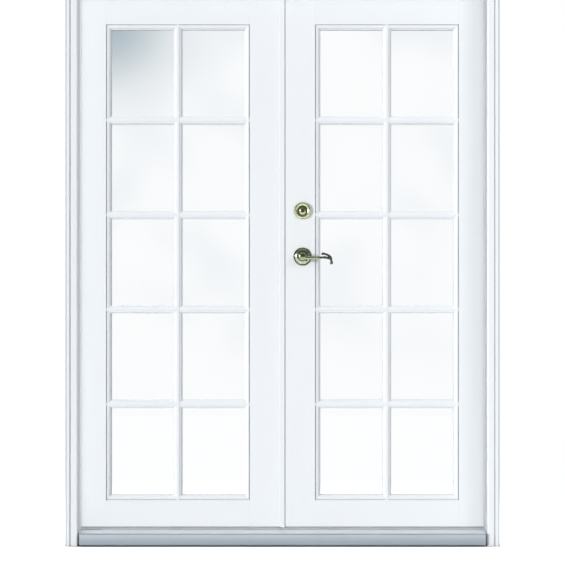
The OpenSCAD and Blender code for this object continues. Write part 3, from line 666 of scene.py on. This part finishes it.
class Finishes(Enum):
    """Every finish on the doors."""

    UPRIGHT_PAINT = Paint("paint_upright", Grain.UPRIGHT)
    ACROSS_PAINT = Paint("paint_across", Grain.ACROSS)
    UPRIGHT_MOULD = MouldPaint("mould_upright", Grain.UPRIGHT)
    ACROSS_MOULD = MouldPaint("mould_across", Grain.ACROSS)
    BRASS = Brass("polished_brass")
    AGED_BRASS = Brass("aged_brass", colour=(0.400, 0.440, 0.285), dull=LEVER_DULL,
                       reach=LEVER_REACH)
    # The levers and roses carry painted darkness away from their axis.
    LEVER_BRASS = PaintedDarkBrass("lever_brass", colour=(0.420, 0.462, 0.300), dull=LEVER_DULL,
                               reach=LEVER_REACH)
    ROSE_BRASS = PaintedDarkBrass("rose_brass", colour=(0.560, 0.612, 0.402), dull=LEVER_DULL,
                              reach=LEVER_REACH, bright_reach=0.0260, dark=0.0295, depth=0.7)
    SILL = SillMetal("sill_aluminium", "sill_metal", (0.560, 0.620, 0.670),
                     (0.390, 0.440, 0.490), 0.32, brush_lines(2.5, 900.0, 900.0), 0.75)
    STEEL = BrushedMetal("satin_steel", "steel", (0.620, 0.615, 0.600),
                         (0.470, 0.465, 0.455), 0.28, brush_lines(700.0, 700.0, 30.0))
    SPACER = BrushedMetal("spacer_aluminium", "spacer_metal", (0.660, 0.680, 0.700),
                          (0.560, 0.580, 0.600), 0.36, brush_lines(300.0, 900.0, 300.0))
    SEAL = Rubber("grey_seal")
    SWEEP = Rubber("sweep_vinyl", colour=(0.460, 0.470, 0.480), worn=(0.540, 0.550, 0.560))
    GLASS = ClearGlass("clear_glass")

    def material(self) -> bpy.types.Material:
        """The finish's material, made when it is first asked for."""
        finish: Finish = self.value
        known = bpy.data.materials.get(finish.name)
        if known is not None:
            return known
        made = bpy.data.materials.new(finish.name)
        made.use_nodes = True
        bench = Bench(made.node_tree)
        bench.add("ShaderNodeOutputMaterial", {}, {"Surface": finish.shader(bench)})
        return made


@dataclass(frozen=True)
class Coat:
    """How one solid is dressed: its finish, eased edges in metres, sharp angle in degrees."""

    node: str
    finish: Finishes
    ease: float = 0.0
    sharp: float = 32.0


@dataclass
class Dresser:
    """Turns the part's solids into finished pieces."""

    nodes: Dict[str, bpy.types.Object]
    bodies: Dict[str, str]
    ease_steps: int = 2
    ease_angle: float = math.radians(40.0)
    even_weight: int = 100
    done: List[str] = field(default_factory=list)

    def keep(self, coat: Coat) -> None:
        """Shows a solid as it is, in its finish.

        Args:
            coat: the solid and its finish.
        """
        node = self.nodes[coat.node]
        for place in node.material_slots:
            place.material = coat.finish.material()
        self.report(coat.node, "kept")

    def copy(self, coat: Coat) -> bpy.types.Object:
        """Makes a smooth copy of a solid, with eased edges, to stand for it.

        Args:
            coat: the solid, its finish and its edges.

        Returns:
            The copy.
        """
        mesh = bpy.data.meshes.new(f"dressed_{coat.node}")
        work = bmesh.new()
        work.from_mesh(self.nodes[coat.node].data)
        bmesh.ops.remove_doubles(work, verts=work.verts, dist=MERGE_DISTANCE)
        bmesh.ops.dissolve_limit(work, angle_limit=FLAT_ANGLE, verts=work.verts, edges=work.edges)
        closed = all(len(edge.link_faces) == 2 for edge in work.edges)
        work.to_mesh(mesh)
        work.free()
        return self.stand_in(mesh, coat, coat.ease if closed else 0.0)

    def stand_in(self, mesh: bpy.types.Mesh, coat: Coat, ease: float) -> bpy.types.Object:
        """Shows a mesh in a solid's place.

        Args:
            mesh: the mesh, in its place.
            coat: the solid and its finish.
            ease: the rounding of the mesh's edges, in metres, or 0.

        Returns:
            The piece.
        """
        mesh.materials.clear()
        piece = self.add(mesh, coat.node, coat.finish)
        for face in mesh.polygons:
            face.use_smooth = True
            face.material_index = 0
        mesh.set_sharp_from_angle(angle=math.radians(coat.sharp))
        if ease:
            self.soften(piece, ease)
        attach(piece, self.bodies[coat.node])
        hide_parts(coat.node)
        self.report(piece.name, "eased" if ease else "smoothed")
        return piece

    def add(self, mesh: bpy.types.Mesh, stem: str, finish: Finishes) -> bpy.types.Object:
        """Links a mesh into the scene.

        Args:
            mesh: the mesh, in its place.
            stem: the piece's name without its ending.
            finish: its finish.

        Returns:
            The piece.
        """
        piece = bpy.data.objects.new(f"{stem}.look", mesh)
        bpy.context.scene.collection.objects.link(piece)
        if not mesh.materials:
            mesh.materials.append(finish.material())
        return piece

    def soften(self, piece: bpy.types.Object, width: float) -> None:
        """Rounds a piece's edges.

        Args:
            piece: the piece.
            width: the rounding, in metres.
        """
        bevel = piece.modifiers.new("eased_edges", "BEVEL")
        bevel.width = width
        bevel.segments = self.ease_steps
        bevel.limit_method = "ANGLE"
        bevel.angle_limit = self.ease_angle
        bevel.use_clamp_overlap = False
        even = piece.modifiers.new("even_shade", "WEIGHTED_NORMAL")
        even.keep_sharp = True
        even.weight = self.even_weight

    def report(self, name: str, how: str) -> None:
        """Logs a finished piece."""
        self.done.append(name)
        LOG.info("%s: %s", name, how)


@dataclass
class Screws:
    """Countersunk screws with a cross recess, as one mesh for each body."""

    dresser: Dresser
    head_radius: float = 0.0042
    head_depth: float = 0.0011
    head_taper: float = 0.62
    proud: float = 0.00035
    recess_length: float = 0.0052
    recess_width: float = 0.0011
    sides: int = 20

    def sizes(self) -> Dict[str, float]:
        """The tree's named sizes."""
        return {"Head Radius": self.head_radius, "Head Depth": self.head_depth,
                "Recess Length": self.recess_length, "Recess Width": self.recess_width}

    def tree(self, finish: Finishes) -> bpy.types.NodeTree:
        """The node tree that sets a screw on every point.

        Args:
            finish: the screws' finish.

        Returns:
            The tree.
        """
        tree = bpy.data.node_groups.new(f"screws_{finish.value.name}", "GeometryNodeTree")
        bench = Bench(tree)
        tree.interface.new_socket("Points", in_out="INPUT", socket_type="NodeSocketGeometry")
        for name in self.sizes():
            tree.interface.new_socket(name, in_out="INPUT", socket_type="NodeSocketFloat")
        tree.interface.new_socket("Screws", in_out="OUTPUT", socket_type="NodeSocketGeometry")
        given = bench.add("NodeGroupInput", {}, {})
        radius, depth = given.out("Head Radius"), given.out("Head Depth")
        head = bench.add("GeometryNodeMeshCone", {"fill_type": "NGON"}, {
            "Vertices": self.sides, "Side Segments": 1, "Radius Top": radius,
            "Radius Bottom": radius * self.head_taper, "Depth": depth})
        sunk = bench.add("ShaderNodeCombineXYZ", {}, {"Z": 0.0 - depth})
        head = bench.add("GeometryNodeTransform", {}, {"Geometry": head, "Translation": sunk})
        long_way, thin_way = given.out("Recess Length"), given.out("Recess Width")
        slots = [bench.add("GeometryNodeMeshCube", {}, {
            "Size": bench.add("ShaderNodeCombineXYZ", {}, {"X": wide, "Y": deep, "Z": depth})})
            for wide, deep in ((long_way, thin_way), (thin_way, long_way))]
        exact = {"solver": "EXACT"}
        cross = bench.add("GeometryNodeMeshBoolean", {"operation": "UNION", **exact}, {
            "Mesh 2": slots[0]})
        tree.links.new(slots[1].socket, cross.socket.node.inputs["Mesh 2"])
        screw = bench.add("GeometryNodeMeshBoolean", {"operation": "DIFFERENCE", **exact}, {
            "Mesh 1": head, "Mesh 2": cross})
        facing = bench.add("GeometryNodeInputNamedAttribute", {"data_type": "FLOAT_VECTOR"}, {
            "Name": "facing"})
        turned = bench.add("FunctionNodeAlignRotationToVector", {"axis": "Z"}, {"Vector": facing})
        spread = bench.add("GeometryNodeInstanceOnPoints", {}, {
            "Points": given.out("Points"), "Instance": screw, "Rotation": turned})
        plain = bench.add("GeometryNodeRealizeInstances", {}, {"Geometry": spread})
        painted = bench.add("GeometryNodeSetMaterial", {}, {
            "Geometry": plain, "Material": finish.material()})
        bench.add("NodeGroupOutput", {}, {0: painted})
        return tree

    def build(self, name: str, body: str, finish: Finishes,
              spots: Sequence[Tuple[Point, Facing]]) -> None:
        """Sets screws on one body.

        Args:
            name: the piece's name.
            body: the body that they move with.
            finish: their finish.
            spots: the middle of each seat, and the way its head looks.
        """
        mesh = bpy.data.meshes.new(f"{name}_seats")
        ways = [Vector(way.value) for _, way in spots]
        seats = [Vector(spot) + way * self.proud for (spot, _), way in zip(spots, ways)]
        mesh.from_pydata(seats, [], [])
        facing = mesh.attributes.new("facing", "FLOAT_VECTOR", "POINT")
        for item, way in zip(facing.data, ways):
            item.vector = way
        piece = self.dresser.add(mesh, name, finish)
        tree, sizes = self.tree(finish), self.sizes()
        modifier = piece.modifiers.new("screws", "NODES")
        modifier.node_group = tree
        for socket in tree.interface.items_tree:
            if socket.name in sizes:
                modifier[socket.identifier] = sizes[socket.name]
        graph = bpy.context.evaluated_depsgraph_get()
        made = bpy.data.meshes.new_from_object(piece.evaluated_get(graph))
        piece.modifiers.clear()
        piece.data = made
        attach(piece, body)
        self.dresser.report(piece.name, f"{len(spots)} screws")


PAINT_UP, PAINT_ACROSS = Finishes.UPRIGHT_PAINT, Finishes.ACROSS_PAINT
WOOD_EASE, BORED_EASE, MOULD_EASE, METAL_EASE = 0.0007, 0.0004, 0.0005, 0.0002
BAR_EASE, NEAR_RECESS_EASE = 0.00015, 0.0001
TURNED_SHARP, COLLAR_SHARP, CAST_SHARP = 28.0, 38.0, 50.0


@dataclass
class HingeSet:
    """The screws of three butt hinges, on one side of a doorway."""

    foot_heights: Tuple[float, float, float] = (0.243, 1.0155, 1.788)
    screw_heights: Tuple[float, float, float, float] = (0.013, 0.038, 0.064, 0.089)
    screw_depths: Span = (0.0890, 0.1030)

    def spots(self, face: float, way: Facing) -> List[Tuple[Point, Facing]]:
        """Where the screws sit on the plates.

        Args:
            face: X of the plates' faces.
            way: the way the faces look.

        Returns:
            The seats, two rows taking turns.
        """
        return [((face, self.screw_depths[index % 2], foot + rise), way)
                for foot in self.foot_heights for index, rise in enumerate(self.screw_heights)]


@dataclass
class DoorFrame:
    """The jambs, the outside moulding, the sill and what is fixed to them."""

    dresser: Dresser
    screws: Screws
    hinges: HingeSet
    hinge_face: float = 0.764
    strike_screw_depths: Span = (0.0770, 0.1105)
    strike_x: float = 0.0
    strike_heights: Span = (0.057, 2.073)
    shaded: Tuple[str, ...] = ("_jamb.", "sill_base")
    pieces: List[bpy.types.Object] = field(default_factory=list)

    def coats(self) -> List[Coat]:
        """The finish of every solid of the frame."""
        listed = [Coat("sill_base", PAINT_ACROSS, WOOD_EASE)]
        for place, paint, mould, ease in (
                ("left", PAINT_UP, Finishes.UPRIGHT_MOULD, WOOD_EASE),
                ("right", PAINT_UP, Finishes.UPRIGHT_MOULD, WOOD_EASE),
                ("head", PAINT_ACROSS, Finishes.ACROSS_MOULD, NEAR_RECESS_EASE)):
            listed += [Coat(f"{place}_jamb", paint, ease),
                       Coat(f"{place}_brickmould", mould, MOULD_EASE),
                       Coat(f"{place}_weatherstrip", Finishes.SEAL)]
        listed += [Coat("sill_deck", Finishes.SILL, METAL_EASE),
                   Coat("threshold_cap", Finishes.SILL, NEAR_RECESS_EASE)]
        listed += [Coat(metal, Finishes.STEEL, METAL_EASE) for metal in (
            "passive_jamb_hinge_leaves", "active_jamb_hinge_leaves", "bolt_strikes")]
        return listed

    def dress(self) -> None:
        """Finishes every solid of the frame."""
        self.pieces = [self.dresser.copy(coat) for coat in self.coats()]

    def faces(self) -> List[bpy.types.Object]:
        """The pieces that stand out to the front, without the jambs and the sill's base."""
        return [piece for piece in self.pieces
                if not any(word in piece.name for word in self.shaded)]

    def build(self) -> None:
        """Adds the screws that hold the hinges and strikes to the frame."""
        spots = self.hinges.spots(-self.hinge_face, Facing.RIGHT)
        spots += self.hinges.spots(self.hinge_face, Facing.LEFT)
        for height, way in zip(self.strike_heights, (Facing.UP, Facing.DOWN)):
            spots += [((self.strike_x, depth, height), way) for depth in self.strike_screw_depths]
        self.screws.build("frame_screws", "frame", Finishes.STEEL, spots)


@dataclass
class Leaf:
    """One glazed door leaf with its hinges."""

    dresser: Dresser
    screws: Screws
    hinges: HingeSet
    stem: str
    meeting_stile: str
    side: Facing
    plate_face: float = 0.761
    meeting_ease: float = WOOD_EASE

    def dress(self) -> None:
        """Finishes every solid of the leaf."""
        stem = self.stem
        self.dresser.copy(Coat(f"{stem}_hinge_stile", PAINT_UP, WOOD_EASE))
        self.dresser.copy(Coat(self.meeting_stile, PAINT_UP, self.meeting_ease))
        for rail in ("top_rail", "bottom_rail"):
            self.dresser.copy(Coat(f"{stem}_{rail}", PAINT_ACROSS, WOOD_EASE))
        for strips in ("glazing_bars", "glazing_beads"):
            self.dresser.copy(Coat(f"{stem}_{strips}", PAINT_UP, BAR_EASE))
        self.dresser.keep(Coat(f"{stem}_glass_panes", Finishes.GLASS))
        self.dresser.keep(Coat(f"{stem}_glass_spacers", Finishes.SPACER))
        self.dresser.copy(Coat(f"{stem}_sweep", Finishes.SWEEP))
        for metal in ("leaf_hinge_leaves", "hinge_pins"):
            self.dresser.copy(Coat(f"{stem}_{metal}", Finishes.STEEL, METAL_EASE))

    def hinge_spots(self) -> List[Tuple[Point, Facing]]:
        """The seats of the screws in this leaf's hinge plates."""
        return self.hinges.spots(self.side.value[0] * self.plate_face, self.side)


@dataclass
class EdgePlates:
    """Screws above and below the two lock bolts, in plates on a door's edge."""

    heights: Span = (1.073, 1.245)
    reach: float = 0.0225
    depth: float = 0.09375

    def spots(self, face: float, way: Facing) -> List[Tuple[Point, Facing]]:
        """Where the screws sit.

        Args:
            face: X of the plates' faces.
            way: the way the faces look.

        Returns:
            The seats.
        """
        return [((face, self.depth, height + turn * self.reach), way)
                for height in self.heights for turn in (-1.0, 1.0)]


@dataclass
class PassiveLeaf(Leaf):
    """The leaf that the flush bolts hold, with the covering strip and the strikes."""

    plates: EdgePlates = field(default_factory=EdgePlates)
    strike_face: float = 0.002

    def dress(self) -> None:
        """Finishes the leaf, its covering strip, its strikes and its bolts."""
        super().dress()
        self.dresser.copy(Coat("astragal", PAINT_UP, MOULD_EASE))
        for strike in ("latch_strike", "deadbolt_strike"):
            self.dresser.copy(Coat(strike, Finishes.BRASS, METAL_EASE))
        for bolt in ("top_flush_bolt", "bottom_flush_bolt"):
            self.dresser.copy(Coat(bolt, Finishes.STEEL, METAL_EASE))

    def build(self) -> None:
        """Adds the leaf's screws."""
        self.screws.build("passive_hinge_screws", "passive_leaf", Finishes.STEEL,
                          self.hinge_spots())
        self.screws.build("strike_screws", "passive_leaf", Finishes.BRASS,
                          self.plates.spots(self.strike_face, Facing.RIGHT))


@dataclass
class LockCollar:
    """The key lock's turned collar: a ridged ring round a sunk face.

    Its outline is a list of radius and stand from the leaf.
    """

    dresser: Dresser
    middle: Point = (0.07485, 0.0715, 1.245)
    outline: Tuple[Span, ...] = (
        (0.0083, 0.0000), (0.0320, 0.0000), (0.0320, 0.0045), (0.0315, 0.0090),
        (0.0304, 0.0112), (0.0262, 0.0141), (0.0250, 0.0147), (0.0238, 0.0143),
        (0.0200, 0.0133), (0.0192, 0.0128), (0.0186, 0.0115), (0.0110, 0.0113),
        (0.0098, 0.0120), (0.0083, 0.0126))
    sides: int = 72

    def build(self) -> None:
        """Turns the collar's outline round the key's axis."""
        work = bmesh.new()
        across, deep, up = self.middle
        turns = [2.0 * math.pi * step / self.sides for step in range(self.sides)]
        rings = [[work.verts.new((across + radius * math.cos(turn), deep - stand,
                                  up + radius * math.sin(turn))) for turn in turns]
                 for radius, stand in self.outline]
        for ring, after in zip(rings, rings[1:] + rings[:1]):
            for step in range(self.sides):
                beside = (step + 1) % self.sides
                work.faces.new((ring[step], ring[beside], after[beside], after[step]))
        bmesh.ops.recalc_face_normals(work, faces=work.faces)
        mesh = bpy.data.meshes.new("turned_collar")
        work.to_mesh(mesh)
        work.free()
        coat = Coat("deadbolt_collar", Finishes.BRASS, 0.0, COLLAR_SHARP)
        self.dresser.stand_in(mesh, coat, coat.ease)


@dataclass
class ActiveLeaf(Leaf):
    """The leaf that opens first, with the lever set and the key lock."""

    meeting_ease: float = BORED_EASE
    plates: EdgePlates = field(default_factory=EdgePlates)
    face_plate: float = 0.005

    def dress(self) -> None:
        """Finishes the leaf and its locks."""
        super().dress()
        LockCollar(self.dresser).build()
        for turned, finish in (("outside_rose", Finishes.ROSE_BRASS),
                               ("inside_rose", Finishes.ROSE_BRASS),
                               ("deadbolt_inside_plate", Finishes.BRASS),
                               ("key_plug", Finishes.BRASS)):
            self.dresser.copy(Coat(turned, finish, METAL_EASE, TURNED_SHARP))
        for cast, finish in (("outside_lever", Finishes.LEVER_BRASS),
                             ("inside_lever", Finishes.LEVER_BRASS),
                             ("thumbturn", Finishes.AGED_BRASS)):
            self.dresser.copy(Coat(cast, finish, 0.0, CAST_SHARP))
        for lock in ("rose_screws", "latch_case", "deadbolt_case", "latch_bolt", "deadbolt_bolt"):
            self.dresser.copy(Coat(lock, Finishes.BRASS, METAL_EASE))
        for bar in ("lever_spindle", "deadbolt_tailpiece"):
            self.dresser.copy(Coat(bar, Finishes.STEEL, METAL_EASE))

    def build(self) -> None:
        """Adds the leaf's screws."""
        self.screws.build("active_hinge_screws", "active_leaf", Finishes.STEEL,
                          self.hinge_spots())
        self.screws.build("face_plate_screws", "active_leaf", Finishes.BRASS,
                          self.plates.spots(self.face_plate, Facing.LEFT))


@dataclass(frozen=True)
class Lamp:
    """A soft lamp that looks at the doors.

    Its width is a square's side in metres, or for a lamp far off the angle that it fills.
    """

    place: Point
    kind: str
    width: float
    power: float
    mirrored: bool = True


@dataclass(frozen=True)
class Backdrop:
    """What shows behind the panes: white, a soft tone and a grey patch at the upper left."""

    patch_colour: Colour = (0.385, 0.470, 0.520)
    patch_way: Span = (-0.0695, 0.1032)
    patch_reach: float = 0.045
    patch_ahead: Span = (0.4, 0.6)
    least_ahead: float = 0.05
    tone_colour: Colour = (0.830, 0.860, 0.900)
    tone_scale: float = 22.0
    tone_octaves: float = 1.0
    tone_span: Span = (0.40, 0.75)
    tone_rise: Span = (-0.048, 0.012)
    tone_share: float = 0.8

    def colour(self, bench: Bench, spot: Wire, across: Wire) -> Wire:
        """The backdrop's colour.

        Args:
            bench: the world's bench.
            spot: the way looked.
            across: the X of that way, whose node gives Y and Z too.

        Returns:
            The colour.
        """
        along, up = across.out("Y"), across.out("Z")
        ahead = along.larger(self.least_ahead)
        off_x = (across / ahead - self.patch_way[0]) / self.patch_reach
        off_z = (up / ahead - self.patch_way[1]) / self.patch_reach
        near = (1.0 - (off_x * off_x + off_z * off_z) ** 0.5).rise(0.0, 1.0)
        patch = near * along.rise(*self.patch_ahead)
        tone = bench.add("ShaderNodeTexNoise", {}, {
            "Vector": spot, "Scale": self.tone_scale, "Detail": self.tone_octaves})
        haze = tone.rise(*self.tone_span) * up.rise(*self.tone_rise) * self.tone_share
        return bench.blend(patch, bench.blend(haze, WHITE, self.tone_colour), self.patch_colour)


@dataclass(frozen=True)
class Room:
    """What shows in gloss: a dark room with a ring of soft boxes, a pale back and a pale top."""

    colour: Colour = (0.090, 0.096, 0.090)
    ring_inside: Span = (0.40, 0.58)
    ring_outside: Span = (0.78, 0.90)
    box_light: float = 0.80
    right_loss: float = 0.45
    right_span: Span = (-0.3, 0.5)
    top_loss: float = 0.75
    top_span: Span = (0.05, 0.50)
    back_span: Span = (0.30, 0.62)
    sky_span: Span = (0.55, 0.9)
    sky_light: float = 0.35

    def shown(self, bench: Bench, across: Wire) -> Wire:
        """The room's colour.

        Args:
            bench: the world's bench.
            across: the X of the way looked, whose node gives Y and Z too.

        Returns:
            The colour.
        """
        along, up = across.out("Y"), across.out("Z")
        toward = 0.0 - along
        ring = toward.rise(*self.ring_inside) * (1.0 - toward.rise(*self.ring_outside))
        boxes = (ring * (self.box_light - self.right_loss * across.rise(*self.right_span))
                 * (1.0 - self.top_loss * up.rise(*self.top_span)))
        sky = up.rise(*self.sky_span) * self.sky_light
        lamps = boxes.larger(along.rise(*self.back_span)).larger(sky)
        return bench.blend(lamps, self.colour, WHITE)


@dataclass
class Studio:
    """The floor, the light and the camera."""

    eye: Point = (0.0, -9.4285, 0.9758)
    focus_pixels: float = 2539.4
    sensor: float = 36.0
    far_clip: float = 100.0
    floor_half: float = 9.0
    floor_drop: float = 0.0004
    floor_colour: Colour = (0.70, 0.705, 0.71)
    floor_glow: float = 0.80
    floor_fade: Span = (1.3, 3.2)
    # Colour of the floor's painted contact shadow round the doors' foot.
    contact_shade_colour: Colour = (0.10, 0.102, 0.105)
    foot_reach: float = 0.06
    foot_open: Span = (0.2, 0.95)
    foot_samples: int = 16
    lamp_aim: Point = (0.0, 0.05, 1.30)
    key: Lamp = Lamp((-7.0, -7.3, 2.30), "SUN", math.radians(6.0), 1.90)
    fill: Lamp = Lamp((4.6, -5.6, 3.6), "AREA", 2.4, 100.0, False)
    rear: Lamp = Lamp((-1.2, 5.2, 2.4), "AREA", 2.2, 120.0)
    shade_colour: Colour = (0.440, 0.450, 0.460)
    backdrop: Backdrop = Backdrop()
    room: Room = Room()

    def camera(self) -> None:
        """Sets the camera where the photograph was taken from."""
        data = bpy.data.cameras.new("camera")
        data.sensor_width = self.sensor
        data.lens = self.focus_pixels / IMAGE_SIDE * self.sensor
        data.clip_end = self.far_clip
        camera = bpy.data.objects.new("camera", data)
        camera.location = self.eye
        camera.rotation_euler = (math.pi / 2.0, 0.0, 0.0)
        bpy.context.scene.collection.objects.link(camera)
        bpy.context.scene.camera = camera

    def floor(self) -> None:
        """Lays a pale floor that keeps the shadow, with a painted contact shadow round the doors'
        foot, and fades into the backdrop.
        """
        half, low = self.floor_half, -self.floor_drop
        mesh = bpy.data.meshes.new("floor")
        corners = [(-half, -half, low), (half, -half, low), (half, half, low), (-half, half, low)]
        mesh.from_pydata(corners, [], [(0, 1, 2, 3)])
        made = bpy.data.materials.new("pale_floor")
        made.use_nodes = True
        bench = Bench(made.node_tree)
        path = bench.add("ShaderNodeLightPath", {}, {}, "Is Camera Ray")
        seen = path + path.out("Is Transmission Ray") + path.out("Is Glossy Ray")
        seen = seen.rise(0.0, 1.0)
        # Painted contact shadow: the floor's colour and glow darken near the doors.
        sky = bench.add("ShaderNodeAmbientOcclusion", {"samples": self.foot_samples},
                        {"Distance": self.foot_reach}, "AO")
        clear = sky.rise(*self.foot_open)
        lit = bench.add("ShaderNodeBsdfDiffuse", {}, {
            "Color": bench.blend(clear, self.contact_shade_colour, self.floor_colour)})
        glow = bench.add("ShaderNodeEmission", {}, {
            "Color": (*WHITE, 1.0), "Strength": seen * clear * self.floor_glow})
        near = bench.add("ShaderNodeAddShader", {}, {0: lit, 1: glow})
        white = bench.add("ShaderNodeEmission", {}, {"Color": (*WHITE, 1.0), "Strength": 1.0})
        away = bench.add("ShaderNodeVectorMath", {"operation": "LENGTH"}, {
            0: bench.place((1.0, 1.0, 0.0))}, "Value")
        far = away.rise(*self.floor_fade) * seen
        bench.add("ShaderNodeOutputMaterial", {}, {
            "Surface": bench.add("ShaderNodeMixShader", {}, {0: far, 1: near, 2: white})})
        mesh.materials.append(made)
        floor = bpy.data.objects.new("floor", mesh)
        bpy.context.scene.collection.objects.link(floor)

    def world(self) -> None:
        """Surrounds the doors with a white backdrop and a studio that shows in gloss."""
        world = bpy.data.worlds.new("studio")
        bpy.context.scene.world = world
        world.use_nodes = True
        bench = Bench(world.node_tree)
        spot = bench.add("ShaderNodeTexCoord", {}, {}, "Generated")
        across = bench.add("ShaderNodeSeparateXYZ", {}, {0: spot}, "X")
        path = bench.add("ShaderNodeLightPath", {}, {}, "Is Camera Ray")
        glossy, through = path.out("Is Glossy Ray"), path.out("Is Transmission Ray")
        light = bench.blend(glossy, self.shade_colour, self.room.shown(bench, across))
        light = bench.blend(through, light, self.backdrop.colour(bench, spot, across))
        light = bench.blend(path, light, WHITE)
        bench.add("ShaderNodeOutputWorld", {}, {
            "Surface": bench.add("ShaderNodeBackground", {}, {"Color": light, "Strength": 1.0})})

    def hang(self, name: str, lamp: Lamp) -> bpy.types.Object:
        """Hangs a lamp that looks at the doors.

        Args:
            name: the lamp's name.
            lamp: its place, size and power.

        Returns:
            The lamp's object.
        """
        data = bpy.data.lights.new(name, lamp.kind)
        if lamp.kind == "SUN":
            data.angle = lamp.width
        else:
            data.size = lamp.width
        data.energy = lamp.power
        hung = bpy.data.objects.new(name, data)
        hung.location = lamp.place
        hung.visible_camera = hung.visible_transmission = False
        hung.visible_glossy = lamp.mirrored
        look = Vector(self.lamp_aim) - Vector(lamp.place)
        hung.rotation_euler = look.to_track_quat("-Z", "Y").to_euler()
        bpy.context.scene.collection.objects.link(hung)
        return hung

    @staticmethod
    def link(name: str, state: str, pieces: Sequence[bpy.types.Object]) -> bpy.types.Collection:
        """Lists pieces for a lamp.

        Args:
            name: the list's name.
            state: INCLUDE, or EXCLUDE for all but these.
            pieces: the pieces.

        Returns:
            The list.
        """
        listed = bpy.data.collections.new(name)
        for piece in pieces:
            listed.objects.link(piece)
        for member in listed.collection_objects:
            member.light_linking.link_state = state
        return listed

    def light(self, frame: Sequence[bpy.types.Object], faces: Sequence[bpy.types.Object]) -> None:
        """Hangs the lamps: one key for the frame's front pieces, one for all past the frame.

        Args:
            frame: the frame's pieces.
            faces: those of them that stand in the key's light.
        """
        self.hang("fill", self.fill)
        self.hang("rear", self.rear)
        front = self.hang("frame_key", self.key).light_linking
        front.receiver_collection = self.link("lit_frame", "INCLUDE", faces)
        inner = self.hang("leaf_key", self.key).light_linking
        passed = self.link("passed_frame", "EXCLUDE", frame)
        inner.receiver_collection = inner.blocker_collection = passed

    def build(self) -> None:
        """Sets up the camera, the floor and the backdrop."""
        bpy.context.scene.view_settings.view_transform = "Standard"
        self.camera()
        self.floor()
        self.world()


def main() -> None:
    """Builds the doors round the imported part, piece by piece."""
    logging.basicConfig(level=logging.INFO, format="%(name)s %(message)s")
    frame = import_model()
    groups = frame["record"]["behaviour"]["bodies"]
    bodies = {node: body for body, members in groups.items() for node in members}
    studio = Studio()
    studio.build()
    dresser = Dresser(frame["nodes"], bodies)
    screws, hinges = Screws(dresser), HingeSet()
    door_frame = DoorFrame(dresser, screws, hinges)
    passive = PassiveLeaf(dresser, screws, hinges, "passive", "passive_meeting_stile", Facing.LEFT)
    active = ActiveLeaf(dresser, screws, hinges, "active", "active_lock_stile", Facing.RIGHT)
    for assembly in (door_frame, passive, active):
        assembly.dress()
        assembly.build()
    studio.light(door_frame.pieces, door_frame.faces())
    LOG.info("%d pieces", len(dresser.done))


if __name__ == "__main__":
    main()
